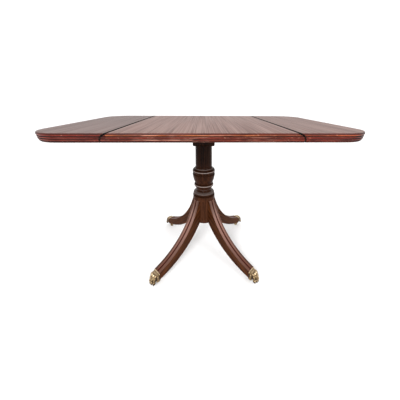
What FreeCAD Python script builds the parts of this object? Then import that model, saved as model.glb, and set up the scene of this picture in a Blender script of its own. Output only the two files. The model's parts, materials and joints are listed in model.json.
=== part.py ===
import FreeCAD, Part
import math
import os
import re
import Sketcher

# Drop-leaf pedestal table: reeded three-board top on rule joints, turned column, sabre legs, paw castors.
# X runs across the leaves, Y from front to back, Z up from the floor under the column.

# Driving sizes, in millimetres.
sizes = {
    # Top boards
    "top_height": 737,
    "top_thickness": 29,
    "top_depth": 660,
    "centre_width": 588,
    "leaf_width": 257,
    "leaf_corner_radius": 104,
    "edge_reed_depth": 3.0,
    "edge_bullnose": 4.0,
    # Rule joint
    "joint_fillet": 4.0,
    "joint_gap": 2.4,
    "joint_arris": 0.4,
    "knuckle_height": 5.0,
    # Back-flap hinges
    "hinge_inset": 100,
    "hinge_width": 38,
    "flap_thickness": 2.5,
    "flap_length": 30,
    "flap_setback": 5.5,
    "knuckle_radius": 4.0,
    "leaf_knuckle_width": 14,
    "hinge_pin_radius": 1.7,
    "hinge_clearance": 0.4,
    # Countersunk screws of the hinges and of the hub plate
    "flap_screw_head_radius": 3.6,
    "flap_screw_radius": 1.8,
    "flap_screw_length": 16,
    "flap_screw_spread": 11,
    # Round-headed screws of the under-frame
    "frame_screw_head_radius": 4.5,
    "frame_screw_head_height": 3.0,
    "frame_screw_radius": 2.5,
    "frame_screw_length": 30,
    "frame_screw_bite": 14,
    # Under-frame and pull-out slides
    "bearer_length": 560,
    "bearer_depth": 40,
    "bearer_width": 28,
    "bearer_screw_inset": 32,
    "slide_length": 278,
    "slide_width": 39.2,
    "slide_side_clearance": 0.4,
    "slide_top_clearance": 0.4,
    "slide_bottom_clearance": 0.3,
    "slide_inner_gap": 9.0,
    "slide_nose": 4.0,
    "finger_notch_radius": 9.0,
    "finger_notch_inset": 13,
    "peg_radius": 5.0,
    "peg_drop": 9.0,
    "peg_depth": 18,
    "peg_gap": 0.6,
    "peg_chamfer": 1.0,
    "keeper_inset": 18,
    "keeper_width": 30,
    "keeper_thickness": 10,
    # Cap block and the column's tenon
    "cap_width": 100,
    "cap_thickness": 35,
    "cap_chamfer": 5.0,
    "cap_screw_spread": 38,
    "tenon_radius": 24,
    "wedge_depth": 26,
    "wedge_top_thickness": 5.0,
    "wedge_foot_thickness": 3.0,
    # Turned column, from the hub up
    "hub_bottom": 216,
    "hub_radius": 53,
    "fascia_height": 21,
    "fascia_radius": 57,
    "foot_groove_height": 3.0,
    "foot_groove_radius": 52,
    "foot_bead_height": 15,
    "foot_bead_radius": 51,
    "foot_bead_round": 9.8,
    "neck_height": 18,
    "neck_radius": 34,
    "neck_foot_radius": 48,
    "neck_round": 17,
    "neck_fillet_height": 11,
    "neck_fillet_radius": 41,
    "collar_height": 17,
    "collar_radius": 45,
    "collar_round": 9.8,
    "urn_height": 45,
    "urn_base_radius": 43,
    "urn_top_radius": 55.7,
    "urn_round": 136,
    "urn_fillet_height": 6.0,
    "urn_fillet_radius": 56.4,
    "urn_groove_height": 5.0,
    "urn_groove_radius": 52.6,
    "shoulder_bead_height": 22,
    "shoulder_bead_radius": 51.2,
    "shoulder_bead_round": 14.1,
    "shoulder_cove_height": 24,
    "shoulder_radius": 48.5,
    "shoulder_cove_round": 27.5,
    "shaft_height": 98,
    "shaft_base_radius": 41.2,
    "shaft_top_radius": 39.8,
    # Sabre legs and their sliding dovetails
    "leg_width": 42,
    "leg_top_height": 348,
    "leg_top_gap": 1.0,
    "leg_ledge": 6.0,
    "leg_reach": 322,
    "leg_end_top": 69,
    "leg_end_bottom": 29,
    "leg_top_sweep": 415,
    "leg_bottom_sweep": 455,
    "leg_arris": 2.0,
    "leg_edge_fillet": 3.0,
    "leg_quirk": 1.0,
    "leg_quirk_depth": 2.2,
    "leg_reed_round": 13.9,
    "leg_reed_valley": 3.2,
    "leg_groove_width": 1.6,
    "leg_groove_depth": 4.4,
    "dovetail_depth": 16,
    "dovetail_neck": 16,
    "dovetail_width": 22,
    "dovetail_shoulder": 8.0,
    "toe_tenon_length": 24,
    "toe_tenon_width": 32,
    "toe_tenon_bottom": 12,
    "toe_tenon_top": 9.0,
    # Iron plate under the hub
    "hub_plate_radius": 46,
    "hub_plate_thickness": 3.0,
    "hub_plate_screw_circle": 42,
    # Cast paws
    "paw_width": 44,
    "paw_knuckle_reach": 23,
    "paw_knuckle_height": 63,
    "paw_toe_reach": 36,
    "paw_toe_height": 14,
    "paw_toe_back": 31.5,
    "paw_toe_back_height": 17,
    "paw_toe_round": 29,
    "paw_plan_round": 30,
    "paw_plan_back": 15,
    "paw_collar_length": 6.0,
    "paw_collar_proud": 1.0,
    "paw_cleft_depth": 4.0,
    "paw_cleft_width": 3.4,
    "paw_cleft_spacing": 11,
    "paw_pin_radius": 2.0,
    "paw_pin_inset": 12,
    # Castors
    "castor_inset": 9.0,
    "castor_trail": 8.0,
    "castor_gap": 0.3,
    "stem_radius": 4.0,
    "stem_length": 9.5,
    "stem_clearance": 0.05,
    "flange_radius": 9.0,
    "flange_thickness": 3.0,
    "cheek_thickness": 2.5,
    "cheek_radius": 5.0,
    "cheek_front": 6.0,
    "cheek_back": 10,
    "wheel_radius": 12,
    "wheel_width": 11,
    "wheel_side_gap": 0.5,
    "wheel_edge_round": 2.0,
    "axle_radius": 2.0,
    "axle_head_radius": 3.0,
    "axle_head_height": 1.0,
    "running_clearance": 0.05,
    # Fits of pieces that don't move on each other, and the overrun of cuts
    "seat_clearance": 0.05,
    "overrun": 10,
}

# Places on the reeded edge, as shares of the board's thickness and of the bullnose.
edge_reed_shares = (0, 0.36, 0.59, 0.82, 0.97)
edge_lean_shares = (0, 0, 0.1, 0.4, 1)
reed_round_share = 0.6
flap_screw_share = 0.55
notch_width_share = 1.6

# Heights and places that follow from the driving sizes.
worked_out = {
    "underside": "top_height - top_thickness",
    "half_depth": "top_depth / 2",
    "joint_line": "centre_width / 2",
    "top_reach": "joint_line + leaf_width",
    "hinge_line": "half_depth - hinge_inset",
    "hinge_axis": "underside + knuckle_height",
    "joint_radius": "top_thickness - joint_fillet - knuckle_height",
    "cove_radius": "joint_radius + joint_gap",
    "hinge_hole_radius": "hinge_pin_radius + running_clearance",
    "leaf_flap_end": "cove_radius + flap_length",
    "bearer_bottom": "underside - bearer_depth",
    "bearer_inner": "slide_width / 2 + slide_side_clearance",
    "bearer_outer": "bearer_inner + bearer_width",
    "bearer_middle": "bearer_inner + bearer_width / 2",
    "bearer_bore": "bearer_depth + frame_screw_bite - frame_screw_length",
    "keeper_outer": "bearer_length / 2 - keeper_inset",
    "keeper_inner": "keeper_outer - keeper_width",
    "bearer_screw_line": "keeper_inner - bearer_screw_inset",
    "slide_top": "underside - slide_top_clearance",
    "slide_bottom": "bearer_bottom + slide_bottom_clearance",
    "slide_end": "slide_inner_gap + slide_length",
    "peg_place": "cap_width / 2 + peg_gap + peg_radius",
    "cap_bottom": "bearer_bottom - cap_thickness",
    "cap_bore": "cap_thickness + frame_screw_bite - frame_screw_length",
    "fascia_bottom": "leg_top_height + leg_top_gap",
    "dovetail_top": "leg_top_height - dovetail_shoulder",
    "dovetail_root": "hub_radius - dovetail_depth",
    "leg_root": "hub_radius + leg_ledge",
    "leg_edge": "leg_width / 2 - leg_edge_fillet",
    "toe_tenon_floor": "leg_end_bottom + toe_tenon_bottom",
    "toe_tenon_roof": "leg_end_top - toe_tenon_top",
    "paw_knuckle": "leg_reach + paw_knuckle_reach",
    "paw_toe": "leg_reach + paw_toe_reach",
    "paw_plan_centre": "leg_reach + paw_plan_back",
    "stem_reach": "leg_reach + castor_inset",
    "axle_reach": "stem_reach - castor_trail",
    "flange_top": "leg_end_bottom - castor_gap",
    "flange_bottom": "flange_top - flange_thickness",
    "fork_slot": "wheel_width + 2 * wheel_side_gap",
    "fork_width": "fork_slot + 2 * cheek_thickness",
}

# Elements of the turning, from the fascia up. Together they fill the way to the cap block.
turning = ("fascia", "foot_groove", "foot_bead", "neck", "neck_fillet", "collar", "urn", "urn_fillet",
           "urn_groove", "shoulder_bead", "shoulder_cove", "shaft")
turning_heights = [name + "_height" for name in turning]
worked_out["turning_ratio"] = "(cap_bottom - fascia_bottom) / (%s)" % " + ".join(turning_heights)
for index, name in enumerate(turning[1:], 1):
    below = " + ".join(turning_heights[:index])
    worked_out[name + "_bottom"] = "fascia_bottom + turning_ratio * (%s)" % below

doc = FreeCAD.newDocument("drop_leaf_table")
sheet = doc.addObject("Spreadsheet::Sheet", "sizes")
for row, (name, value) in enumerate(sizes.items(), 1):
    sheet.set("A%d" % row, name)
    sheet.set("B%d" % row, str(value))
    sheet.setAlias("B%d" % row, name)
doc.recompute()


def formula(text):
    """Write a sum of size names as an expression bound to the sheet."""
    def swap(match):
        word = match.group(0)
        if word in worked_out:
            return "(" + formula(worked_out[word]) + ")"
        return "sizes." + word if word in sizes else word
    return re.sub(r"[a-z_]+[a-z_0-9]*", swap, text)


def number(text):
    """Present value of a sum of size names."""
    return float(sheet.evalExpression(formula(text)))


def arc_centre(start, end, radius):
    """Sums for the centre of an arc that turns left from start to end."""
    across = "((%s) - (%s))" % (end[0], start[0])
    along = "((%s) - (%s))" % (end[1], start[1])
    lift = "sqrt((%s) ^ 2 / (%s ^ 2 + %s ^ 2) - 1 / 4)" % (radius, across, along)
    centre_x = "((%s) + (%s)) / 2 - %s * %s" % (start[0], end[0], lift, along)
    centre_y = "((%s) + (%s)) / 2 + %s * %s" % (start[1], end[1], lift, across)
    return centre_x, centre_y


def turned(angle):
    """Rotation about the column's axis, in degrees."""
    return FreeCAD.Rotation(FreeCAD.Vector(0, 0, 1), angle)


parts = []


def new_body(label, turn=0, shift_y="0"):
    """A piece of the table, turned about the column's axis and shifted along Y."""
    body = doc.addObject("PartDesign::Body", label)
    body.Label = label
    body.Placement = FreeCAD.Placement(FreeCAD.Vector(), turned(turn))
    if shift_y != "0":
        body.setExpression("Placement.Base.y", formula(shift_y))
    return body


def keep(piece):
    """Count a piece among those that are written out."""
    parts.append(piece)
    return piece


def new_sketch(body, plane, right="0", up="0", out="0"):
    """A sketch on one of the body's own planes, shifted in that plane's directions."""
    sketch = body.newObject("Sketcher::SketchObject", body.Label + "_sketch")
    origin_plane = next(item for item in body.Origin.OriginFeatures if item.Role == plane)
    sketch.AttachmentSupport = [(origin_plane, "")]
    sketch.MapMode = "FlatFace"
    for axis, shift in zip("xyz", (right, up, out)):
        if shift != "0":
            sketch.setExpression("AttachmentOffset.Base." + axis, formula(shift))
    return sketch


def bind(sketch, kind, place, text):
    """Add a constraint whose value follows the sheet."""
    index = sketch.addConstraint(Sketcher.Constraint(kind, *place, number(text)))
    sketch.setExpression("Constraints[%d]" % index, formula(text))


def outline(sketch, corners, closed=True):
    """Draw lines and arcs from corner to corner; an arc's corner also gives its radius and its turn."""
    first = sketch.GeometryCount
    points = [FreeCAD.Vector(number(corner[0]), number(corner[1]), 0) for corner in corners]
    count = len(corners) if closed else len(corners) - 1
    ends = []
    for index in range(count):
        start = points[index]
        end = points[(index + 1) % len(points)]
        if len(corners[index]) == 2:
            sketch.addGeometry(Part.LineSegment(start, end))
            ends.append((1, 2))
            continue
        radius = number(corners[index][2])
        left = corners[index][3] == "left"
        half = (end - start) / 2
        normal = FreeCAD.Vector(-half.y, half.x, 0).normalize()
        rise = math.sqrt(max(radius ** 2 - half.Length ** 2, 0))
        centre = start + half + normal * (rise if left else -rise)
        angles = [math.atan2(point.y - centre.y, point.x - centre.x) for point in (start, end)]
        if not left:
            angles.reverse()
        sketch.addGeometry(Part.ArcOfCircle(Part.Circle(centre, FreeCAD.Vector(0, 0, 1), radius), *angles))
        ends.append((1, 2) if left else (2, 1))
    for index in range(count):
        item = first + index
        bind(sketch, "DistanceX", (item, ends[index][0]), corners[index][0])
        bind(sketch, "DistanceY", (item, ends[index][0]), corners[index][1])
        if len(corners[index]) > 2:
            bind(sketch, "Radius", (item,), corners[index][2])
        following = (index + 1) % len(points)
        if following < count:
            meeting = (item, ends[index][1], first + following, ends[following][0])
            sketch.addConstraint(Sketcher.Constraint("Coincident", *meeting))
        else:
            bind(sketch, "DistanceX", (item, ends[index][1]), corners[following][0])
            bind(sketch, "DistanceY", (item, ends[index][1]), corners[following][1])
    return sketch


def rectangle(sketch, left, right, bottom, top):
    """Draw a rectangle between four lines."""
    return outline(sketch, [(left, bottom), (right, bottom), (right, top), (left, top)])


def circle(sketch, x, y, radius):
    """Draw a circle."""
    item = sketch.GeometryCount
    middle = FreeCAD.Vector(number(x), number(y), 0)
    sketch.addGeometry(Part.Circle(middle, FreeCAD.Vector(0, 0, 1), number(radius)))
    bind(sketch, "DistanceX", (item, 3), x)
    bind(sketch, "DistanceY", (item, 3), y)
    bind(sketch, "Radius", (item,), radius)
    return sketch


def extrude(body, kind, sketch, length, symmetric=False, reverse=False):
    """Pad or pocket a sketch."""
    item = body.newObject("PartDesign::" + kind, body.Label + "_" + kind.lower())
    item.Profile = sketch
    item.setExpression("Length", formula(length))
    item.SideType = "Symmetric" if symmetric else "One side"
    item.Reversed = reverse
    return item


def spin(body, kind, sketch):
    """Turn a sketch once round its own upright axis."""
    item = body.newObject("PartDesign::" + kind, body.Label + "_" + kind.lower())
    item.Profile = sketch
    item.ReferenceAxis = (sketch, ["V_Axis"])
    item.Angle = 360
    return item


def group(label, piece, places, turns=None):
    """Separate copies of one piece under one name, each at its own place and turn about Z."""
    copies = []
    for place, turn in zip(places, turns or [0] * len(places)):
        link = doc.addObject("App::Link", label + "_copy")
        link.LinkedObject = piece
        link.LinkPlacement = FreeCAD.Placement(FreeCAD.Vector(), turned(turn))
        for axis, text in zip("xyz", place):
            link.setExpression("LinkPlacement.Base." + axis, formula(text))
        copies.append(link)
    compound = doc.addObject("Part::Compound", label)
    compound.Label = label
    compound.Links = copies
    return compound


def reeded_edge(sketch, edge, inward):
    """Waste outside a reeded board edge; inward is the sign of the way into the board."""
    corners = []
    for height_share, lean_share in zip(edge_reed_shares[::-1], edge_lean_shares[::-1]):
        inset = "edge_reed_depth + edge_bullnose * %g" % lean_share
        height = "top_height - top_thickness * %g" % height_share
        corners.append(("%s %s (%s)" % (edge, inward, inset), height))
    reeds = []
    turn = "left" if inward == "-" else "right"
    for here, following in zip(corners, corners[1:]):
        chord = "sqrt((%s - (%s)) ^ 2 + (%s - (%s)) ^ 2)" % (here[0], following[0], here[1], following[1])
        reeds.append(here + ("%s * %g" % (chord, reed_round_share), turn))
    outside = "%s %s (0 - overrun)" % (edge, inward)
    waste = [
        (outside, "top_height + overrun"),
        (outside, "underside - overrun"),
        (corners[0][0], "underside - overrun"),
    ]
    top = (corners[-1][0], "top_height + overrun")
    return outline(sketch, waste + reeds + [corners[-1], top])


# Hinge places along Y, shared by boards, flaps, pins and screws.
hinge_places = ("0 - hinge_line", "0", "hinge_line")


def hinge_rows(sketch, left, right, width):
    """One rectangle at each hinge."""
    for place in hinge_places:
        rectangle(sketch, left, right, "%s - (%s) / 2" % (place, width), "%s + (%s) / 2" % (place, width))
    return sketch


def screw_rows(sketch, x, radius):
    """Screw holes of the three hinge flaps of one board edge."""
    for place in hinge_places:
        for side in ("-", "+"):
            circle(sketch, x, "%s %s flap_screw_spread" % (place, side), radius)
    return sketch


fixed_screw_line = "joint_line - flap_setback - flap_length * %g" % flap_screw_share
leaf_screw_line = "joint_line + cove_radius + flap_length * %g" % flap_screw_share
flap_pilot = "flap_screw_radius + seat_clearance"
flap_pilot_depth = "flap_screw_length + seat_clearance"
frame_pilot = "frame_screw_radius + seat_clearance"
bearer_screw_places = ("0 - bearer_screw_line", "0", "bearer_screw_line")


def centre_top():
    """Fixed middle board: an ovolo along both sides for the rule joints, reeds along front and back."""
    body = keep(new_body("centre_top"))
    ovolo_foot = "sqrt(joint_radius ^ 2 - knuckle_height ^ 2)"
    right = [
        ("joint_line + " + ovolo_foot, "underside", "joint_radius", "left"),
        ("joint_line", "hinge_axis + joint_radius"),
        ("joint_line", "top_height - joint_arris"),
        ("joint_line - joint_arris", "top_height"),
    ]
    left = [
        ("joint_arris - joint_line", "top_height"),
        ("0 - joint_line", "top_height - joint_arris"),
        ("0 - joint_line", "hinge_axis + joint_radius", "joint_radius", "left"),
        ("0 - joint_line - " + ovolo_foot, "underside"),
    ]
    section = outline(new_sketch(body, "XZ_Plane"), right + left)
    extrude(body, "Pad", section, "top_depth", symmetric=True)
    for edge, inward in (("0 - half_depth", "+"), ("half_depth", "-")):
        waste = reeded_edge(new_sketch(body, "YZ_Plane"), edge, inward)
        extrude(body, "Pocket", waste, "centre_width + 2 * joint_radius + overrun", symmetric=True)
    for sign in ("", "0 - "):
        def across(near, far):
            ends = ["%s(%s)" % (sign, text) for text in (near, far)]
            return ends if not sign else ends[::-1]
        fixed = new_sketch(body, "XY_Plane", out="underside")
        ends = across("joint_line - flap_setback - flap_length", "joint_line")
        hinge_rows(fixed, ends[0], ends[1], "hinge_width")
        extrude(body, "Pocket", fixed, "flap_thickness", reverse=True)
        knuckles = new_sketch(body, "XY_Plane", out="underside")
        ends = across("joint_line - flap_setback", "joint_line + flap_setback")
        hinge_rows(knuckles, ends[0], ends[1], "hinge_width + 2 * hinge_clearance")
        extrude(body, "Pocket", knuckles, "knuckle_height + knuckle_radius + hinge_clearance", reverse=True)
        moving = new_sketch(body, "XY_Plane", out="underside")
        ends = across("joint_line", "joint_line + joint_radius + overrun")
        hinge_rows(moving, ends[0], ends[1], "hinge_width + 2 * hinge_clearance")
        extrude(body, "Pocket", moving, "flap_thickness + hinge_clearance", reverse=True)
        pilots = new_sketch(body, "XY_Plane", out="underside")
        screw_rows(pilots, "%s(%s)" % (sign, fixed_screw_line), flap_pilot)
        extrude(body, "Pocket", pilots, flap_pilot_depth, reverse=True)
    pilots = new_sketch(body, "XY_Plane", out="underside")
    for x in bearer_screw_places:
        for side in ("0 - bearer_middle", "bearer_middle"):
            circle(pilots, x, side, frame_pilot)
    extrude(body, "Pocket", pilots, "frame_screw_bite + seat_clearance", reverse=True)


def leaf(label, turn):
    """Hinged leaf: round outer corners, reeds on its three free edges, a cove that rides on the ovolo."""
    body = keep(new_body(label, turn))
    corner = "leaf_corner_radius"
    plan = new_sketch(body, "XY_Plane", out="underside")
    outline(plan, [
        ("joint_line + joint_gap", "0 - half_depth"),
        ("top_reach - " + corner, "0 - half_depth", corner, "left"),
        ("top_reach", corner + " - half_depth"),
        ("top_reach", "half_depth - " + corner, corner, "left"),
        ("top_reach - " + corner, "half_depth"),
        ("joint_line + joint_gap", "half_depth"),
    ])
    extrude(body, "Pad", plan, "top_thickness")
    cove = new_sketch(body, "XZ_Plane")
    shoulder = "hinge_axis + sqrt(cove_radius ^ 2 - joint_gap ^ 2)"
    outline(cove, [
        ("joint_line - overrun", "underside - overrun"),
        ("joint_line + cove_radius", "underside - overrun"),
        ("joint_line + cove_radius", "hinge_axis", "cove_radius", "left"),
        ("joint_line + joint_gap", shoulder),
        ("joint_line + joint_gap", "top_height - joint_arris"),
        ("joint_line + joint_gap + joint_arris", "top_height"),
        ("joint_line + joint_gap + joint_arris", "top_height + overrun"),
        ("joint_line - overrun", "top_height + overrun"),
    ])
    extrude(body, "Pocket", cove, "top_depth + overrun", symmetric=True)
    route = new_sketch(body, "XY_Plane", out="top_height")
    outline(route, [
        ("joint_line", "0 - half_depth"),
        ("top_reach - " + corner, "0 - half_depth", corner, "left"),
        ("top_reach", corner + " - half_depth"),
        ("top_reach", "half_depth - " + corner, corner, "left"),
        ("top_reach - " + corner, "half_depth"),
        ("joint_line", "half_depth"),
    ], closed=False)
    waste = reeded_edge(new_sketch(body, "YZ_Plane", out="joint_line"), "0 - half_depth", "+")
    reeds = body.newObject("PartDesign::SubtractivePipe", label + "_reeds")
    reeds.Profile = waste
    reeds.Spine = (route, [])
    flaps = new_sketch(body, "XY_Plane", out="underside")
    hinge_rows(flaps, "joint_line", "joint_line + leaf_flap_end", "hinge_width")
    extrude(body, "Pocket", flaps, "flap_thickness", reverse=True)
    pilots = screw_rows(new_sketch(body, "XY_Plane", out="underside"), leaf_screw_line, flap_pilot)
    extrude(body, "Pocket", pilots, flap_pilot_depth, reverse=True)


def flap_holes(body, x, bottom):
    """Countersunk holes for the two screws of a flap."""
    for side in ("-", "+"):
        y = "0 %s flap_screw_spread" % side
        section = new_sketch(body, "XZ_Plane", right=x, up=bottom, out="0 - (%s)" % y)
        outline(section, [
            ("0", "0 - overrun"),
            ("flap_screw_head_radius + seat_clearance", "0 - overrun"),
            ("flap_screw_head_radius + seat_clearance", "0"),
            (flap_pilot, "flap_screw_head_radius - flap_screw_radius"),
            (flap_pilot, "overrun"),
            ("0", "overrun"),
        ])
        spin(body, "Groove", section)


def fixed_flap(label, turn, place):
    """Hinge flap let into the middle board, with two knuckles round the pin."""
    body = keep(new_body(label, turn, place))
    inner = "joint_line - flap_setback"
    gap = "leaf_knuckle_width / 2"
    half = "hinge_width / 2"
    plate = new_sketch(body, "XY_Plane", out="underside")
    outline(plate, [
        (inner + " - flap_length", "0 - " + half),
        ("joint_line", "0 - " + half),
        ("joint_line", "0 - " + gap),
        (inner, "0 - " + gap),
        (inner, gap),
        ("joint_line", gap),
        ("joint_line", half),
        (inner + " - flap_length", half),
    ])
    extrude(body, "Pad", plate, "flap_thickness")
    barrel = circle(new_sketch(body, "XZ_Plane"), "joint_line", "hinge_axis", "knuckle_radius")
    extrude(body, "Pad", barrel, "hinge_width", symmetric=True)
    middle = new_sketch(body, "XY_Plane", out="underside")
    rectangle(middle, inner, "joint_line + knuckle_radius + overrun", "0 - " + gap, gap)
    extrude(body, "Pocket", middle, "2 * (knuckle_height + knuckle_radius + overrun)", symmetric=True)
    bore = circle(new_sketch(body, "XZ_Plane"), "joint_line", "hinge_axis", "hinge_hole_radius")
    extrude(body, "Pocket", bore, "hinge_width + overrun", symmetric=True)
    flap_holes(body, fixed_screw_line, "underside")


def leaf_flap(label, turn, place):
    """Longer hinge flap that reaches past the ovolo to the leaf, with one knuckle round the pin."""
    body = keep(new_body(label, turn, place))
    near = "joint_line + flap_setback"
    far = "joint_line + leaf_flap_end"
    half = "hinge_width / 2"
    tongue = "leaf_knuckle_width / 2 - hinge_clearance"
    plate = new_sketch(body, "XY_Plane", out="underside")
    outline(plate, [
        ("joint_line", "0 - (%s)" % tongue),
        (near, "0 - (%s)" % tongue),
        (near, "0 - " + half),
        (far, "0 - " + half),
        (far, half),
        (near, half),
        (near, tongue),
        ("joint_line", tongue),
    ])
    extrude(body, "Pad", plate, "flap_thickness")
    barrel = circle(new_sketch(body, "XZ_Plane"), "joint_line", "hinge_axis", "knuckle_radius")
    extrude(body, "Pad", barrel, "2 * (%s)" % tongue, symmetric=True)
    bore = circle(new_sketch(body, "XZ_Plane"), "joint_line", "hinge_axis", "hinge_hole_radius")
    extrude(body, "Pocket", bore, "hinge_width + overrun", symmetric=True)
    flap_holes(body, leaf_screw_line, "underside")


def flap_screw():
    """Countersunk wood screw that points up from the underside of a flap."""
    body = new_body("flap_screw")
    section = new_sketch(body, "XZ_Plane")
    outline(section, [
        ("0", "0"),
        ("flap_screw_head_radius", "0"),
        ("flap_screw_radius", "flap_screw_head_radius - flap_screw_radius"),
        ("flap_screw_radius", "flap_screw_length - 2 * flap_screw_radius"),
        ("0", "flap_screw_length"),
    ])
    spin(body, "Revolution", section)
    return body


def frame_screw():
    """Round-headed wood screw that points up from its seat."""
    body = new_body("frame_screw")
    section = new_sketch(body, "XZ_Plane")
    dome = "(frame_screw_head_radius ^ 2 + frame_screw_head_height ^ 2) / (2 * frame_screw_head_height)"
    outline(section, [
        ("0", "0 - frame_screw_head_height", dome, "left"),
        ("frame_screw_head_radius", "0"),
        ("frame_screw_radius", "0"),
        ("frame_screw_radius", "frame_screw_length - 2 * frame_screw_radius"),
        ("0", "frame_screw_length"),
    ])
    spin(body, "Revolution", section)
    return body


def hinge_pin():
    """Plain pin of one hinge."""
    body = new_body("hinge_pin")
    section = circle(new_sketch(body, "XZ_Plane"), "0", "0", "hinge_pin_radius")
    extrude(body, "Pad", section, "hinge_width", symmetric=True)
    return body


def hinges():
    """Three hinges for each leaf, with their pins and screws."""
    for side, turn in (("right", 0), ("left", 180)):
        for name, place in zip(("front", "middle", "rear"), hinge_places):
            fixed_flap("%s_%s_fixed_flap" % (side, name), turn, place)
            leaf_flap("%s_%s_leaf_flap" % (side, name), turn, place)
    signs = ("", "0 - ")
    pin_places = [("%sjoint_line" % sign, place, "hinge_axis") for sign in signs for place in hinge_places]
    keep(group("hinge_pins", hinge_pin(), pin_places))
    screw = flap_screw()
    spreads = ["%s %s flap_screw_spread" % (place, side) for place in hinge_places for side in ("-", "+")]
    fixed = [("%s(%s)" % (sign, fixed_screw_line), y, "underside") for sign in signs for y in spreads]
    keep(group("centre_hinge_screws", screw, fixed))
    for label, sign in (("right_leaf_hinge_screws", ""), ("left_leaf_hinge_screws", "0 - ")):
        keep(group(label, screw, [("%s(%s)" % (sign, leaf_screw_line), y, "underside") for y in spreads]))


def bearer(label, turn):
    """Batten across the grain under the middle board, bored for the screws that hold the top."""
    body = keep(new_body(label, turn))
    end = "bearer_length / 2"
    section = rectangle(new_sketch(body, "XY_Plane", out="bearer_bottom"),
                        "0 - " + end, end, "0 - bearer_outer", "0 - bearer_inner")
    extrude(body, "Pad", section, "bearer_depth")
    seats = new_sketch(body, "XY_Plane", out="bearer_bottom")
    holes = new_sketch(body, "XY_Plane", out="bearer_bottom")
    for x in bearer_screw_places:
        circle(seats, x, "0 - bearer_middle", "frame_screw_head_radius + seat_clearance")
        circle(holes, x, "0 - bearer_middle", frame_pilot)
    extrude(body, "Pocket", seats, "bearer_bore", reverse=True)
    extrude(body, "Pocket", holes, "bearer_depth", reverse=True)
    pilots = new_sketch(body, "XY_Plane", out="bearer_bottom")
    for sign in ("0 - ", ""):
        circle(pilots, sign + "cap_screw_spread", "0 - bearer_middle", frame_pilot)
    extrude(body, "Pocket", pilots, "frame_screw_bite + seat_clearance", reverse=True)
    pilots = new_sketch(body, "XY_Plane", out="bearer_bottom")
    for sign in ("0 - ", ""):
        circle(pilots, "%s(keeper_inner + keeper_width / 2)" % sign, "0 - bearer_middle", frame_pilot)
    extrude(body, "Pocket", pilots, "frame_screw_length - keeper_thickness + seat_clearance", reverse=True)


def keeper(label, turn):
    """Strip across both bearers that carries the slide's outer end and stops its peg."""
    body = keep(new_body(label, turn))
    section = rectangle(new_sketch(body, "XY_Plane", out="bearer_bottom"),
                        "keeper_inner", "keeper_outer", "0 - bearer_outer", "bearer_outer")
    extrude(body, "Pad", section, "keeper_thickness", reverse=True)
    holes = new_sketch(body, "XY_Plane", out="bearer_bottom")
    for side in ("0 - bearer_middle", "bearer_middle"):
        circle(holes, "keeper_inner + keeper_width / 2", side, frame_pilot)
    extrude(body, "Pocket", holes, "keeper_thickness")


def slide(label, turn):
    """Pull-out support for a leaf: eased nose, finger notch below, hole for its stop peg."""
    body = keep(new_body(label, turn))
    notch = "slide_end - finger_notch_inset"
    notch_half = "finger_notch_radius * %g / 2" % notch_width_share
    side = new_sketch(body, "XZ_Plane")
    outline(side, [
        ("slide_inner_gap", "slide_bottom"),
        (notch + " - " + notch_half, "slide_bottom", "finger_notch_radius", "right"),
        (notch + " + " + notch_half, "slide_bottom"),
        ("slide_end", "slide_bottom"),
        ("slide_end", "slide_top - slide_nose"),
        ("slide_end - slide_nose", "slide_top"),
        ("slide_inner_gap", "slide_top"),
    ])
    extrude(body, "Pad", side, "slide_width", symmetric=True)
    hole = new_sketch(body, "XY_Plane", out="slide_bottom")
    circle(hole, "peg_place", "0", "peg_radius + seat_clearance")
    extrude(body, "Pocket", hole, "peg_depth + seat_clearance", reverse=True)


def slide_peg(label, turn):
    """Dowel that stops the slide against the cap block and against the keeper."""
    body = keep(new_body(label, turn))
    section = new_sketch(body, "XZ_Plane", right="peg_place", up="slide_bottom")
    outline(section, [
        ("0", "0 - peg_drop"),
        ("peg_radius - peg_chamfer", "0 - peg_drop"),
        ("peg_radius", "peg_chamfer - peg_drop"),
        ("peg_radius", "peg_depth"),
        ("0", "peg_depth"),
    ])
    spin(body, "Revolution", section)


def cap_block():
    """Square block on the column's tenon, screwed up into both bearers."""
    body = keep(new_body("cap_block"))
    half = "cap_width / 2"
    low = half + " - cap_chamfer"
    section = new_sketch(body, "XZ_Plane")
    outline(section, [
        ("0 - (%s)" % low, "cap_bottom"),
        (low, "cap_bottom"),
        (half, "cap_bottom + cap_chamfer"),
        (half, "bearer_bottom"),
        ("0 - " + half, "bearer_bottom"),
        ("0 - " + half, "cap_bottom + cap_chamfer"),
    ])
    extrude(body, "Pad", section, "cap_width", symmetric=True)
    for sign in ("0 - ", ""):
        waste = new_sketch(body, "YZ_Plane")
        outline(waste, [
            ("%s(%s)" % (sign, low), "cap_bottom"),
            ("%s(%s + overrun)" % (sign, half), "cap_bottom"),
            ("%s(%s + overrun)" % (sign, half), "cap_bottom + cap_chamfer + overrun"),
        ])
        extrude(body, "Pocket", waste, "cap_width + overrun", symmetric=True)
    bore = circle(new_sketch(body, "XY_Plane", out="cap_bottom"), "0", "0", "tenon_radius + seat_clearance")
    extrude(body, "Pocket", bore, "cap_thickness", reverse=True)
    seats = new_sketch(body, "XY_Plane", out="cap_bottom")
    holes = new_sketch(body, "XY_Plane", out="cap_bottom")
    for x in ("0 - cap_screw_spread", "cap_screw_spread"):
        for y in ("0 - bearer_middle", "bearer_middle"):
            circle(seats, x, y, "frame_screw_head_radius + seat_clearance")
            circle(holes, x, y, frame_pilot)
    extrude(body, "Pocket", seats, "cap_bore", reverse=True)
    extrude(body, "Pocket", holes, "cap_thickness", reverse=True)


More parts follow.
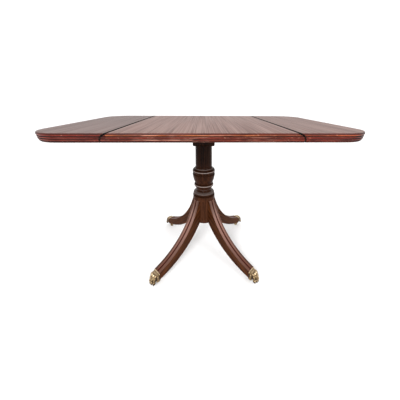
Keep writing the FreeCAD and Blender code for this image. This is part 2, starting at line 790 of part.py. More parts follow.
def frame_screws():
    """All screws of the under-frame."""
    screw = frame_screw()
    places = []
    for y in ("0 - bearer_middle", "bearer_middle"):
        for x in bearer_screw_places:
            places.append((x, y, "bearer_bottom + bearer_bore"))
        for x in ("0 - cap_screw_spread", "cap_screw_spread"):
            places.append((x, y, "cap_bottom + cap_bore"))
        for sign in ("0 - ", ""):
            places.append((sign + "(keeper_inner + keeper_width / 2)", y, "bearer_bottom - keeper_thickness"))
    keep(group("frame_screws", screw, places))


def wedge_section(sketch, growth):
    """Tapered cross-section of the tenon's wedge, or of its kerf with some growth."""
    top = "(wedge_top_thickness / 2 + %s)" % growth
    foot = "(wedge_foot_thickness / 2 + %s)" % growth
    return outline(sketch, [
        ("0 - " + foot, "bearer_bottom - wedge_depth - %s" % growth),
        (foot, "bearer_bottom - wedge_depth - %s" % growth),
        (top, "bearer_bottom"),
        ("0 - " + top, "bearer_bottom"),
    ])


def dovetail(sketch, growth, quarter):
    """Plan of one leg's sliding dovetail, turned by a number of quarter turns."""
    root = "dovetail_root - %s" % growth
    wide = "dovetail_width / 2 + %s" % growth
    neck = "dovetail_neck / 2 + %s" % growth
    plan = [
        (root, "0 - (%s)" % wide),
        ("hub_radius + leg_ledge / 2", "0 - (%s)" % neck),
        ("hub_radius + leg_ledge / 2", neck),
        (root, wide),
    ]
    for _ in range(quarter):
        plan = [("0 - (%s)" % y, x) for x, y in plan]
    return outline(sketch, plan)


def column():
    """One turned piece: tenon, shaft, shoulder, urn, collar, neck, foot and the slotted hub for the legs."""
    body = keep(new_body("column", 45))
    section = new_sketch(body, "XZ_Plane")
    outline(section, [
        ("0", "hub_bottom"),
        ("hub_radius", "hub_bottom"),
        ("hub_radius", "fascia_bottom"),
        ("fascia_radius", "fascia_bottom"),
        ("fascia_radius", "foot_groove_bottom"),
        ("foot_groove_radius", "foot_groove_bottom"),
        ("foot_groove_radius", "foot_bead_bottom"),
        ("foot_bead_radius", "foot_bead_bottom", "turning_ratio * foot_bead_round", "left"),
        ("foot_bead_radius", "neck_bottom"),
        ("neck_foot_radius", "neck_bottom", "neck_round", "right"),
        ("neck_radius", "neck_fillet_bottom"),
        ("neck_fillet_radius", "neck_fillet_bottom"),
        ("neck_fillet_radius", "collar_bottom"),
        ("collar_radius", "collar_bottom", "turning_ratio * collar_round", "left"),
        ("collar_radius", "urn_bottom"),
        ("urn_base_radius", "urn_bottom", "urn_round", "left"),
        ("urn_top_radius", "urn_fillet_bottom"),
        ("urn_fillet_radius", "urn_fillet_bottom"),
        ("urn_fillet_radius", "urn_groove_bottom"),
        ("urn_groove_radius", "urn_groove_bottom"),
        ("urn_groove_radius", "shoulder_bead_bottom"),
        ("shoulder_bead_radius", "shoulder_bead_bottom", "turning_ratio * shoulder_bead_round", "left"),
        ("shoulder_bead_radius", "shoulder_cove_bottom"),
        ("shoulder_radius", "shoulder_cove_bottom", "shoulder_cove_round", "right"),
        ("shaft_base_radius", "shaft_bottom"),
        ("shaft_top_radius", "cap_bottom"),
        ("tenon_radius", "cap_bottom"),
        ("tenon_radius", "bearer_bottom"),
        ("0", "bearer_bottom"),
    ])
    spin(body, "Revolution", section)
    kerf = wedge_section(new_sketch(body, "XZ_Plane"), "seat_clearance")
    extrude(body, "Pocket", kerf, "2 * tenon_radius + overrun", symmetric=True)
    slots = new_sketch(body, "XY_Plane", out="hub_bottom")
    for quarter in range(4):
        dovetail(slots, "seat_clearance", quarter)
    extrude(body, "Pocket", slots, "dovetail_top - hub_bottom + seat_clearance", reverse=True)


def tenon_wedge():
    """Wedge driven into the tenon, trimmed round with it."""
    body = keep(new_body("tenon_wedge", 45))
    extrude(body, "Pad", wedge_section(new_sketch(body, "XZ_Plane"), "0"), "2 * tenon_radius", symmetric=True)
    ring = new_sketch(body, "XY_Plane", out="bearer_bottom")
    circle(ring, "0", "0", "tenon_radius")
    circle(ring, "0", "0", "tenon_radius + overrun")
    extrude(body, "Pocket", ring, "wedge_depth")


leg_top_start = ("leg_root", "leg_top_height")
leg_top_end = ("leg_reach", "leg_end_top")
leg_bottom_start = ("hub_radius", "hub_bottom")
leg_bottom_end = ("leg_reach", "leg_end_bottom")


def leg(label, turn):
    """Sabre leg: swept side, two reeds along its upper face, dovetail for the hub, tenon for the paw."""
    body = keep(new_body(label, turn))
    side = new_sketch(body, "XZ_Plane")
    outline(side, [
        ("dovetail_root", "leg_top_height"),
        leg_top_start + ("leg_top_sweep", "left"),
        leg_top_end,
        leg_bottom_end + ("leg_bottom_sweep", "right"),
        leg_bottom_start,
        ("dovetail_root", "hub_bottom"),
    ])
    extrude(body, "Pad", side, "leg_width", symmetric=True)
    seat = circle(new_sketch(body, "XY_Plane"), "0", "0", "hub_radius + seat_clearance")
    extrude(body, "Pocket", seat, "2 * top_height", symmetric=True)
    centre_x, centre_z = arc_centre(leg_top_start, leg_top_end, "leg_top_sweep")
    reeds = new_sketch(body, "XY_Plane", right=centre_x, out=centre_z)

    def depth(size):
        return "0 - leg_top_sweep - " + size
    outline(reeds, [
        ("overrun - leg_top_sweep", "leg_edge"),
        (depth("leg_quirk_depth"), "leg_edge"),
        (depth("leg_quirk_depth"), "leg_edge - leg_quirk", "leg_reed_round", "right"),
        (depth("leg_reed_valley"), "leg_groove_width / 2"),
        (depth("leg_groove_depth"), "0"),
        (depth("leg_reed_valley"), "0 - leg_groove_width / 2", "leg_reed_round", "right"),
        (depth("leg_quirk_depth"), "leg_quirk - leg_edge"),
        (depth("leg_quirk_depth"), "0 - leg_edge"),
        ("overrun - leg_top_sweep", "0 - leg_edge"),
    ])
    spin(body, "Groove", reeds)
    centre_x, centre_z = arc_centre(leg_bottom_start, leg_bottom_end, "leg_bottom_sweep")
    arrises = new_sketch(body, "XY_Plane", right=centre_x, out=centre_z)
    for sign in ("0 - ", ""):
        outline(arrises, [
            ("leg_arris - leg_bottom_sweep", sign + "leg_width / 2"),
            ("0 - leg_bottom_sweep", sign + "(leg_width / 2 - leg_arris)"),
            ("0 - leg_bottom_sweep - overrun", sign + "(leg_width / 2 - leg_arris)"),
            ("0 - leg_bottom_sweep - overrun", sign + "(leg_width / 2 + overrun)"),
            ("leg_arris - leg_bottom_sweep", sign + "(leg_width / 2 + overrun)"),
        ])
    spin(body, "Groove", arrises)
    tongue = dovetail(new_sketch(body, "XY_Plane", out="hub_bottom"), "0", 0)
    extrude(body, "Pad", tongue, "dovetail_top - hub_bottom")
    tenon = new_sketch(body, "XZ_Plane")
    rectangle(tenon, "leg_reach - toe_tenon_length / 2", "leg_reach + toe_tenon_length",
              "toe_tenon_floor", "toe_tenon_roof")
    extrude(body, "Pad", tenon, "toe_tenon_width", symmetric=True)
    pin = new_sketch(body, "XZ_Plane")
    circle(pin, "leg_reach + paw_pin_inset", "(toe_tenon_floor + toe_tenon_roof) / 2",
           "paw_pin_radius + seat_clearance")
    extrude(body, "Pocket", pin, "leg_width + overrun", symmetric=True)
    pilot = new_sketch(body, "XY_Plane", out="hub_bottom")
    circle(pilot, "hub_plate_screw_circle", "0", flap_pilot)
    extrude(body, "Pocket", pilot, flap_pilot_depth + " - hub_plate_thickness", reverse=True)


def hub_plate():
    """Iron disc under the hub, screwed into the legs' dovetails."""
    body = keep(new_body("hub_plate", 45))
    disc = circle(new_sketch(body, "XY_Plane", out="hub_bottom"), "0", "0", "hub_plate_radius")
    extrude(body, "Pad", disc, "hub_plate_thickness", reverse=True)
    for x, y in (("1", "0"), ("0", "1"), ("-1", "0"), ("0", "-1")):
        section = new_sketch(body, "XZ_Plane", right="hub_plate_screw_circle * (%s)" % x,
                             up="hub_bottom - hub_plate_thickness", out="hub_plate_screw_circle * (%s)" % y)
        outline(section, [
            ("0", "0 - overrun"),
            ("flap_screw_head_radius + seat_clearance", "0 - overrun"),
            ("flap_screw_head_radius + seat_clearance", "0"),
            (flap_pilot, "flap_screw_head_radius - flap_screw_radius"),
            (flap_pilot, "overrun"),
            ("0", "overrun"),
        ])
        spin(body, "Groove", section)


paw_knuckle_point = ("paw_knuckle", "paw_knuckle_height")
paw_toe_point = ("paw_toe", "paw_toe_height")


def paw(label, turn):
    """Cast paw on a leg's end: collar, toes parted by clefts, sockets for the leg and for the castor."""
    body = keep(new_body(label, turn))
    side = new_sketch(body, "XZ_Plane")
    outline(side, [
        ("leg_reach", "leg_end_bottom"),
        ("leg_reach + paw_toe_back", "leg_end_bottom"),
        ("leg_reach + paw_toe_back", "paw_toe_back_height"),
        paw_toe_point + ("paw_toe_round", "left"),
        paw_knuckle_point,
        ("leg_reach", "leg_end_top"),
    ])
    extrude(body, "Pad", side, "paw_width", symmetric=True)
    half = "paw_width / 2"
    front = "paw_plan_centre + sqrt(paw_plan_round ^ 2 - (%s) ^ 2)" % half
    beyond = "paw_plan_centre + paw_plan_round + overrun"
    plan = new_sketch(body, "XY_Plane")
    outline(plan, [
        (front, "0 - " + half, "paw_plan_round", "left"),
        (front, half),
        (front, half + " + overrun"),
        (beyond, half + " + overrun"),
        (beyond, "0 - %s - overrun" % half),
        (front, "0 - %s - overrun" % half),
    ])
    extrude(body, "Pocket", plan, "2 * top_height", symmetric=True)
    centre_x, centre_z = arc_centre(paw_toe_point, paw_knuckle_point, "paw_toe_round")
    clefts = new_sketch(body, "XY_Plane", right=centre_x, out=centre_z)
    for place in ("0 - paw_cleft_spacing", "0", "paw_cleft_spacing"):
        outline(clefts, [
            ("paw_toe_round - paw_cleft_depth", place),
            ("paw_toe_round + paw_cleft_depth", place + " - paw_cleft_width"),
            ("paw_toe_round + paw_cleft_depth", place + " + paw_cleft_width"),
        ])
    spin(body, "Groove", clefts)
    collar = new_sketch(body, "XZ_Plane")
    rectangle(collar, "leg_reach", "leg_reach + paw_collar_length",
              "leg_end_bottom", "leg_end_top + paw_collar_proud")
    extrude(body, "Pad", collar, "paw_width + 2 * paw_collar_proud", symmetric=True)
    socket = new_sketch(body, "XZ_Plane")
    rectangle(socket, "leg_reach - overrun", "leg_reach + toe_tenon_length + seat_clearance",
              "toe_tenon_floor - seat_clearance", "toe_tenon_roof + seat_clearance")
    extrude(body, "Pocket", socket, "toe_tenon_width + 2 * seat_clearance", symmetric=True)
    stem = new_sketch(body, "XY_Plane", out="leg_end_bottom")
    circle(stem, "stem_reach", "0", "stem_radius + stem_clearance")
    extrude(body, "Pocket", stem, "stem_length + castor_gap", reverse=True)
    pin = new_sketch(body, "XZ_Plane")
    circle(pin, "leg_reach + paw_pin_inset", "(toe_tenon_floor + toe_tenon_roof) / 2",
           "paw_pin_radius + seat_clearance")
    extrude(body, "Pocket", pin, "paw_width + overrun", symmetric=True)


def paw_pin():
    """Cross pin that holds a paw on its leg."""
    body = new_body("paw_pin")
    section = new_sketch(body, "XZ_Plane")
    circle(section, "leg_reach + paw_pin_inset", "(toe_tenon_floor + toe_tenon_roof) / 2", "paw_pin_radius")
    extrude(body, "Pad", section, "paw_width", symmetric=True)
    return body


def castor_fork(label, turn):
    """Brass fork: stem and flange turned in one, two cheeks that hold the axle behind the stem."""
    body = keep(new_body(label, turn))
    stem = new_sketch(body, "XZ_Plane", right="stem_reach")
    outline(stem, [
        ("0", "flange_bottom"),
        ("flange_radius", "flange_bottom"),
        ("flange_radius", "flange_top"),
        ("stem_radius", "flange_top"),
        ("stem_radius", "flange_top + stem_length"),
        ("0", "flange_top + stem_length"),
    ])
    spin(body, "Revolution", stem)
    cheeks = new_sketch(body, "XZ_Plane")
    outline(cheeks, [
        ("axle_reach - cheek_radius", "wheel_radius"),
        ("axle_reach + cheek_radius", "wheel_radius"),
        ("stem_reach + cheek_front", "flange_bottom + flange_thickness / 2"),
        ("stem_reach - cheek_back", "flange_bottom + flange_thickness / 2"),
    ])
    extrude(body, "Pad", cheeks, "fork_width", symmetric=True)
    ears = circle(new_sketch(body, "XZ_Plane"), "axle_reach", "wheel_radius", "cheek_radius")
    extrude(body, "Pad", ears, "fork_width", symmetric=True)
    slot = new_sketch(body, "XZ_Plane")
    rectangle(slot, "axle_reach - wheel_radius - overrun", "stem_reach + flange_radius + overrun",
              "0", "flange_bottom")
    extrude(body, "Pocket", slot, "fork_slot", symmetric=True)
    bore = circle(new_sketch(body, "XZ_Plane"), "axle_reach", "wheel_radius", "axle_radius + seat_clearance")
    extrude(body, "Pocket", bore, "fork_width + overrun", symmetric=True)


def castor_axle(label, turn):
    """Riveted axle, fixed in the fork's cheeks."""
    body = keep(new_body(label, turn))
    section = new_sketch(body, "XY_Plane", right="axle_reach", out="wheel_radius")
    half = "fork_width / 2"
    head = "(fork_width / 2 + axle_head_height)"
    outline(section, [
        ("0", "0 - " + head),
        ("axle_head_radius", "0 - " + head),
        ("axle_head_radius", "0 - " + half),
        ("axle_radius", "0 - " + half),
        ("axle_radius", half),
        ("axle_head_radius", half),
        ("axle_head_radius", head),
        ("0", head),
    ])
    spin(body, "Revolution", section)


def castor_wheel(label, turn):
    """Brass wheel with eased rims, free on its axle."""
    body = keep(new_body(label, turn))
    section = new_sketch(body, "XY_Plane", right="axle_reach", out="wheel_radius")
    half = "wheel_width / 2"
    hub = "axle_radius + running_clearance"
    ease = "wheel_edge_round"
    outline(section, [
        (hub, "0 - " + half),
        ("wheel_radius - " + ease, "0 - " + half, ease, "left"),
        ("wheel_radius", "%s - %s" % (ease, half)),
        ("wheel_radius", "%s - %s" % (half, ease), ease, "left"),
        ("wheel_radius - " + ease, half),
        (hub, half),
    ])
    spin(body, "Revolution", section)


centre_top()
leaf("right_leaf", 0)
leaf("left_leaf", 180)
hinges()
bearer("front_bearer", 0)
bearer("rear_bearer", 180)
for side, turn in (("right", 0), ("left", 180)):
    keeper(side + "_keeper", turn)
    slide(side + "_slide", turn)
    slide_peg(side + "_slide_peg", turn)
cap_block()
frame_screws()
column()
tenon_wedge()
hub_plate()
corners = (("rear_right", 45), ("rear_left", 135), ("front_left", 225), ("front_right", 315))
for corner, turn in corners:
    leg(corner + "_leg", turn)
    paw(corner + "_paw", turn)
    castor_fork(corner + "_castor_fork", turn)
    castor_axle(corner + "_castor_axle", turn)
    castor_wheel(corner + "_castor_wheel", turn)
plate_bottom = "hub_bottom - hub_plate_thickness"
hub_screw_places = []
for corner, turn in corners:
    across, along = ["hub_plate_screw_circle * %s(%d)" % (ratio, turn) for ratio in ("cos", "sin")]
    hub_screw_places.append((across, along, plate_bottom))
keep(group("hub_plate_screws", doc.getObject("flap_screw"), hub_screw_places))
keep(group("paw_pins", paw_pin(), [("0", "0", "0")] * len(corners), [turn for corner, turn in corners]))

doc.recompute()

# Every feature has to be sound, and every cut has to take something away, before anything is written.
cuts = ("PartDesign::Pocket", "PartDesign::Groove", "PartDesign::SubtractivePipe")
for item in doc.Objects:
    if "Invalid" in item.State or "Error" in item.State:
        raise RuntimeError("%s failed: %s" % (item.Name, item.State))
    if item.TypeId in cuts and not item.Shape.Volume < item.BaseFeature.Shape.Volume:
        raise RuntimeError("%s cuts nothing" % item.Name)
for piece in parts:
    if piece.Shape.isNull() or not piece.Shape.isValid():
        raise RuntimeError("%s has no valid shape" % piece.Label)

os.makedirs("parts", exist_ok=True)
for piece in parts:
    piece.Shape.exportStep("parts/%s.step" % piece.Label)
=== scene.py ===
import json
import math
import bmesh
import bpy
from mathutils import Matrix, Vector


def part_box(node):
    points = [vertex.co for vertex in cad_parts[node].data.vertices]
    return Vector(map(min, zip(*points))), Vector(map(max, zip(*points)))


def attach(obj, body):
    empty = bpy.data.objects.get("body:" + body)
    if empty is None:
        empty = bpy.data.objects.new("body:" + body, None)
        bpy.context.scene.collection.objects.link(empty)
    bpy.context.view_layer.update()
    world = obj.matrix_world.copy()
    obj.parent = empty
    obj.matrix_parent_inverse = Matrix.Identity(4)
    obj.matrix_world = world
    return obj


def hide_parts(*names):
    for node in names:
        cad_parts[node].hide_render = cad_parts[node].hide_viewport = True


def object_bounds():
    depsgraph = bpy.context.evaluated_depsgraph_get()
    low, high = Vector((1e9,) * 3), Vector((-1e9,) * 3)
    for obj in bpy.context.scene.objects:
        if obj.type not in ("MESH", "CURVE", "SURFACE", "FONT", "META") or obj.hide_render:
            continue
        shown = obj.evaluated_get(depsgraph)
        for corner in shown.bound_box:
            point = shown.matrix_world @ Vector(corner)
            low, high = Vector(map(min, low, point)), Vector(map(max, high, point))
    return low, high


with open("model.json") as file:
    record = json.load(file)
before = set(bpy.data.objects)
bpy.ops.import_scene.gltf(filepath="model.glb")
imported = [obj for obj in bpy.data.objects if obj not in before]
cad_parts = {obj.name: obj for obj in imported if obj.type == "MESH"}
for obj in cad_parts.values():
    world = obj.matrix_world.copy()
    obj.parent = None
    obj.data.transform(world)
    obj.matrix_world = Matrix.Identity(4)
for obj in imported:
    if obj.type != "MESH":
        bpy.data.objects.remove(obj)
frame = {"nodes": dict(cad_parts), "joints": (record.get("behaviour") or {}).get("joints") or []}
cad_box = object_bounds()
nodes = frame["nodes"]


# The three boards of the top: mahogany, French polished long ago, now dulled by light and handling.
# The show face is straight-grained from front to back; the edges are lipped with solid wood and reeded
# with a moulding plane, so their grain runs along the edge, and they are darker between the reeds.
def new_material(name):
    """A material with nodes, its tree and its shader."""
    material = bpy.data.materials.new(name)
    material.use_nodes = True
    return material, material.node_tree, material.node_tree.nodes["Principled BSDF"]


def add(tree, kind, inputs=None, **settings):
    """A shader node with its settings; an input is a value or another node's socket."""
    node = tree.nodes.new(kind)
    for key, value in settings.items():
        setattr(node, key, value)
    for key, value in (inputs or {}).items():
        if isinstance(value, bpy.types.NodeSocket):
            tree.links.new(value, node.inputs[key])
        else:
            node.inputs[key].default_value = value
    return node


def calc(tree, operation, first, second=0.0):
    """The result of one sum on one or two values."""
    return add(tree, "ShaderNodeMath", {0: first, 1: second}, operation=operation).outputs[0]


def dot(tree, vector, direction):
    """How far a vector points in a direction."""
    node = add(tree, "ShaderNodeVectorMath", {0: vector, 1: direction}, operation="DOT_PRODUCT")
    return node.outputs["Value"]


def length(tree, vector):
    """How long a vector is."""
    return add(tree, "ShaderNodeVectorMath", {0: vector}, operation="LENGTH").outputs["Value"]


def ramp(tree, factor, low, high, from_value=0.0, to_value=1.0):
    """A smooth step of a factor between two thresholds."""
    node = add(tree, "ShaderNodeMapRange", {0: factor, 1: low, 2: high, 3: from_value, 4: to_value},
               interpolation_type="SMOOTHSTEP")
    return node.outputs[0]


def near(tree, value, middle, reach, core=0.3, share=1.0):
    """A band about a middle value: the whole share within the reach's core, nothing beyond the reach."""
    off = calc(tree, "ABSOLUTE", calc(tree, "SUBTRACT", value, middle))
    return ramp(tree, off, reach, core * reach, 0.0, share)


def mix(tree, factor, first, second, blend="MIX"):
    """A colour mixed from two."""
    node = add(tree, "ShaderNodeMix", {0: factor, 6: first, 7: second}, data_type="RGBA", blend_type=blend)
    return node.outputs[2]


def grain(tree, coordinates, stretch, scale, detail, roughness=0.6):
    """Noise drawn out along the grain."""
    mapped = add(tree, "ShaderNodeMapping", {"Vector": coordinates, "Scale": stretch})
    noise = add(tree, "ShaderNodeTexNoise", {
        "Vector": mapped.outputs[0], "Scale": scale, "Detail": detail, "Roughness": roughness})
    return noise.outputs[0]


def surface(tree, shader, colour, gloss, height, strength, depth):
    """Joins a colour, a roughness and a fine relief to the shader."""
    relief = add(tree, "ShaderNodeBump", {"Height": height, "Strength": strength, "Distance": depth})
    for socket, name in ((colour, "Base Color"), (gloss, "Roughness"), (relief.outputs[0], "Normal")):
        tree.links.new(socket, shader.inputs[name])


def dress(names, material):
    """One material on each of the named CAD nodes."""
    for name in names:
        nodes[name].data.materials.clear()
        nodes[name].data.materials.append(material)


top_dark = (0.085, 0.030, 0.020, 1)
top_mid = (0.135, 0.058, 0.042, 1)
top_light = (0.205, 0.108, 0.083, 1)
under_dark = (0.050, 0.024, 0.013, 1)
under_light = (0.125, 0.068, 0.038, 1)
left_tone = (0.62, 0.64, 0.68, 1)
right_tone = (0.90, 0.90, 0.90, 1)
# Painted shade on the leaves' edges and on the right leaf's far corner.
left_lip_shade = (0.76, 0.62, 0.66, 1)
right_lip_shade = (0.90, 0.60, 0.50, 1)
right_corner_shade, right_corner = (0.46, 0.36, 0.34, 1), (0.44, 0.53)
lip_dark = (0.024, 0.0030, 0.0014, 1)
lip_light = (0.090, 0.0125, 0.0048, 1)
lip_worn = (0.62, 0.36, 0.25, 1)
# Colours of the reeds' crowns: partly worn polish, partly painted highlight.
crown_wear_highlight = (0.225, 0.030, 0.013, 1)
crown_amber_highlight = (0.40, 0.112, 0.034, 1)
crown_pale_highlight = (0.46, 0.200, 0.140, 1)
valley_dark = (0.006, 0.0016, 0.0012, 1)
joint_black = (0.006, 0.004, 0.003, 1)
joint_wood = (0.060, 0.020, 0.011, 1)

# Places on the boards, in metres: the leaf hinge's pin gives the rule joint, and depths count from the top.
pins = {joint["name"]: joint["pos_m"] for joint in frame["joints"] if "pos_m" in joint}
joint_line, pin_height = pins["right_leaf_hinge"][0], pins["right_leaf_hinge"][2]
joint_middle, joint_arc, joint_seam = 0.0012, 0.0212, 0.001
joint_dirt, arc_dirt, dirt_core = 0.0075, 0.0034, 0.6
top_level = cad_box[1][2]
reed_valleys, valley_half = (0.0104, 0.0171, 0.0238, 0.0281), 0.0024
first_crown, other_crowns, crown_half = 0.0066, (0.0139, 0.0206, 0.0262), 0.0022

# Each grain is a stretch, a scale, a detail and a roughness; each band is what ramp takes after its factor.
ribbon_grain, ribbon_band = ((1.0, 0.05, 1.0), 38.0, 3.0), (0.34, 0.66)
streak_grain, streak_band = ((1.0, 0.006, 1.0), 300.0, 3.0), (0.40, 0.64)
pore_grain, pore_band = ((1.0, 0.045, 1.0), 900.0, 2.0), (0.60, 0.72, 0.0, 0.45)
cloud_grain, cloud_band = ((1.0, 0.6, 1.0), 4.0, 3.0), (0.35, 0.70, 0.0, 0.22)
lip_grain, lip_band = ((0.03, 0.03, 1.0), 420.0, 4.0, 0.7), (0.36, 0.66)
lip_cloud_grain, lip_cloud_band = ((1.0, 1.0, 1.0), 9.0, 3.0), (0.42, 0.68, 0.0, 0.5)
# Clouds for the crowns' wear and painted highlights; the pale one is kept near the middle of the edge.
rub_highlight_grain, rub_highlight_band = ((0.12, 0.12, 1.0), 120.0, 4.0, 0.7), (0.38, 0.66, 0.15, 0.95)
hand_highlight_grain, hand_highlight_band = ((0.06, 0.06, 1.0), 150.0, 3.0, 0.7), (0.50, 0.64, 0.0, 0.75)
hand_highlight_reach = (0.28, 0.16, 0.3, 1.0)
nick_grain, nick_band = ((0.5, 0.5, 1.0), 160.0, 3.0, 0.7), (0.61, 0.70)
underside_turn, crown_turn, edge_turn, end_turn = (0.70, 0.90), (0.80, 0.97), (0.06, 0.22), (0.1, 0.3)
top_polish, top_specular, pore_relief = (0.38, 0.62, 0.43, 0.37), 0.16, (0.10, 0.0004)

top_material, tree, shader = new_material("top_mahogany_polished")
place = add(tree, "ShaderNodeTexCoord").outputs["Object"]
normal = add(tree, "ShaderNodeTexCoord").outputs["Normal"]
split = add(tree, "ShaderNodeSeparateXYZ", {0: place})
across_boards, height = split.outputs[0], split.outputs[2]
aside = calc(tree, "ABSOLUTE", across_boards)
left_board = ramp(tree, across_boards, -joint_line, -joint_line - joint_seam)
right_board = ramp(tree, across_boards, joint_line, joint_line + joint_seam)

# The show face, and the bare wood beneath it.
streaks = grain(tree, place, *streak_grain)
streaked = ramp(tree, streaks, *streak_band)
pores = grain(tree, place, *pore_grain)
face = mix(tree, ramp(tree, grain(tree, place, *ribbon_grain), *ribbon_band), top_dark, top_mid)
face = mix(tree, streaked, face, top_light)
face = mix(tree, ramp(tree, pores, *pore_band), face, top_dark)
face = mix(tree, ramp(tree, grain(tree, place, *cloud_grain), *cloud_band), face, top_light)
beneath = ramp(tree, dot(tree, normal, (0, 0, -1)), *underside_turn)
face = mix(tree, beneath, face, mix(tree, streaked, under_dark, under_light))
face = mix(tree, left_board, face, left_tone, "MULTIPLY")
face = mix(tree, right_board, face, right_tone, "MULTIPLY")

# The lipped edge: the reeds' crowns painted lighter, partly as worn polish and partly as painted highlight,
# darker between the reeds and nicked here and there.
edge = mix(tree, ramp(tree, grain(tree, place, *lip_grain), *lip_band), lip_dark, lip_light)
edge = mix(tree, ramp(tree, grain(tree, place, *lip_cloud_grain), *lip_cloud_band), edge, lip_light)
slope = calc(tree, "SUBTRACT", 1.0, calc(tree, "ABSOLUTE", dot(tree, normal, (0, 0, 1))))
depth = calc(tree, "SUBTRACT", top_level, height)
crown_rubs_and_highlights = ramp(tree, grain(tree, place, *rub_highlight_grain), *rub_highlight_band)
hand_rubs_and_highlights = ramp(tree, grain(tree, place, *hand_highlight_grain), *hand_highlight_band)
hand_rubs_and_highlights = calc(tree, "MULTIPLY", hand_rubs_and_highlights, ramp(tree, aside, *hand_highlight_reach))
# Painted highlights on the reeds' crowns, partly worn polish: amber on the first crown except on the left
# leaf, pale in clouds near the middle of the edge.
reed_crown_highlights = [(first_crown, mix(tree, left_board, crown_amber_highlight, crown_wear_highlight))]
reed_crown_highlights += [(crown, crown_wear_highlight) for crown in other_crowns]
for crown, crown_colour in reed_crown_highlights:
    on_crown = near(tree, depth, crown, crown_half)
    edge = mix(tree, calc(tree, "MULTIPLY", on_crown, crown_rubs_and_highlights), edge, crown_colour)
    edge = mix(tree, calc(tree, "MULTIPLY", on_crown, hand_rubs_and_highlights), edge, crown_pale_highlight)
darkened_lines = 0.0
# The reeds' valleys are painted darker and left duller.
for valley in reed_valleys:
    inside = near(tree, depth, valley, valley_half)
    edge = mix(tree, inside, edge, valley_dark)
    darkened_lines = calc(tree, "MAXIMUM", inside, darkened_lines)
nicks = ramp(tree, grain(tree, place, *nick_grain), *nick_band)
nicks = calc(tree, "MULTIPLY", nicks, ramp(tree, slope, *crown_turn))
edge = mix(tree, nicks, edge, lip_worn)
# Painted shade: the leaves' edges are multiplied darker than the centre board's, partly with a shift of hue,
# where they curve away from the light.
edge = mix(tree, left_board, edge, left_lip_shade, "MULTIPLY")
edge = mix(tree, right_board, edge, right_lip_shade, "MULTIPLY")
# Painted shade: the right leaf's far corner, where the edge curves away from the light, is multiplied
# darker.
edge = mix(tree, ramp(tree, across_boards, *right_corner), edge, right_corner_shade, "MULTIPLY")
edge_share = ramp(tree, slope, *edge_turn)
colour = mix(tree, edge_share, face, edge)

# The rule joint: black dirt along its line on top and its arc at the boards' ends, bare wood on the round.
beyond_joint = calc(tree, "SUBTRACT", aside, joint_line)
above_pin = calc(tree, "SUBTRACT", height, pin_height)
from_pin = add(tree, "ShaderNodeCombineXYZ", {0: beyond_joint, 1: above_pin}).outputs[0]
on_arc = near(tree, length(tree, from_pin), joint_arc, arc_dirt, dirt_core)
on_arc = calc(tree, "MULTIPLY", on_arc, calc(tree, "GREATER_THAN", beyond_joint, 0.0))
on_line = near(tree, beyond_joint, joint_middle, joint_dirt, dirt_core)
above_arc = calc(tree, "GREATER_THAN", above_pin, joint_arc)
dirt = add(tree, "ShaderNodeMix", {0: above_arc, 2: on_arc, 3: on_line}).outputs[0]
endwise = ramp(tree, calc(tree, "ABSOLUTE", dot(tree, normal, (0, 1, 0))), *end_turn)
blackened = calc(tree, "MAXIMUM", endwise, above_arc)
colour = mix(tree, dirt, colour, mix(tree, blackened, joint_wood, joint_black))

gloss = ramp(tree, streaks, *top_polish)
dirt = calc(tree, "MULTIPLY", dirt, blackened)
darkened_lines = calc(tree, "MULTIPLY", darkened_lines, edge_share)
for dull in (dirt, darkened_lines, beneath):
    gloss = calc(tree, "MAXIMUM", gloss, dull)
surface(tree, shader, colour, gloss, pores, *pore_relief)
shader.inputs["Specular IOR Level"].default_value = top_specular
dress(("centre_top", "left_leaf", "right_leaf"), top_material)


# The column and the cap block: mahogany stained nearly black and polished, with painted shade from the top
# on the shaft. The column is turned from one balk, so its grain runs upright; the block is glued and wedged
# on its tenon and screwed to the bearers.
stand_dark = (0.0045, 0.0014, 0.0007, 1)
stand_light = (0.021, 0.0070, 0.0030, 1)
stand_rubbed = (0.055, 0.018, 0.0075, 1)
# Lighter browns for the urn and hub, painted as lit wood below the shade of the top.
lit_hub_dark = (0.034, 0.0105, 0.0042, 1)
lit_hub_brown = (0.080, 0.0265, 0.0100, 1)
# Pale grey for the painted highlights on the beads' crowns.
bead_highlight = (0.26, 0.215, 0.20, 1)
urn_top, urn_foot, urn_share = 0.57, 0.47, 0.26
ring_foot, hub_top, hub_share = 0.385, 0.345, 0.72

# Each painted highlight on a bead's crown: its height, its reach and its strength.
bead_highlights = ((0.5035, 0.0026, 0.75), (0.5155, 0.0030, 0.30), (0.4275, 0.0028, 0.85),
               (0.4045, 0.0026, 0.85), (0.387, 0.0060, 0.30))
bead_core = 0.2
stand_streak_grain, stand_streak_band = ((1.0, 1.0, 0.04), 190.0, 5.0, 0.7), (0.36, 0.70)
hub_streak_band = (0.36, 0.66)
stand_cloud_grain, stand_cloud_band = ((1.0, 1.0, 0.3), 14.0, 3.0), (0.45, 0.75, 0.0, 0.35)
stand_pore_grain, stand_pore_band = ((1.0, 1.0, 0.06), 900.0, 2.0), (0.60, 0.72, 0.0, 0.5)
stand_polish, stand_specular = (0.30, 0.75, 0.22, 0.36), 0.04

stand_material, tree, shader = new_material("column_mahogany")
place = add(tree, "ShaderNodeTexCoord").outputs["Object"]
height = add(tree, "ShaderNodeSeparateXYZ", {0: place}).outputs[2]
streaks = grain(tree, place, *stand_streak_grain)
cloud = grain(tree, place, *stand_cloud_grain)
pores = grain(tree, place, *stand_pore_grain)
colour = mix(tree, ramp(tree, streaks, *stand_streak_band), stand_dark, stand_light)
colour = mix(tree, ramp(tree, cloud, *stand_cloud_band), colour, stand_rubbed)
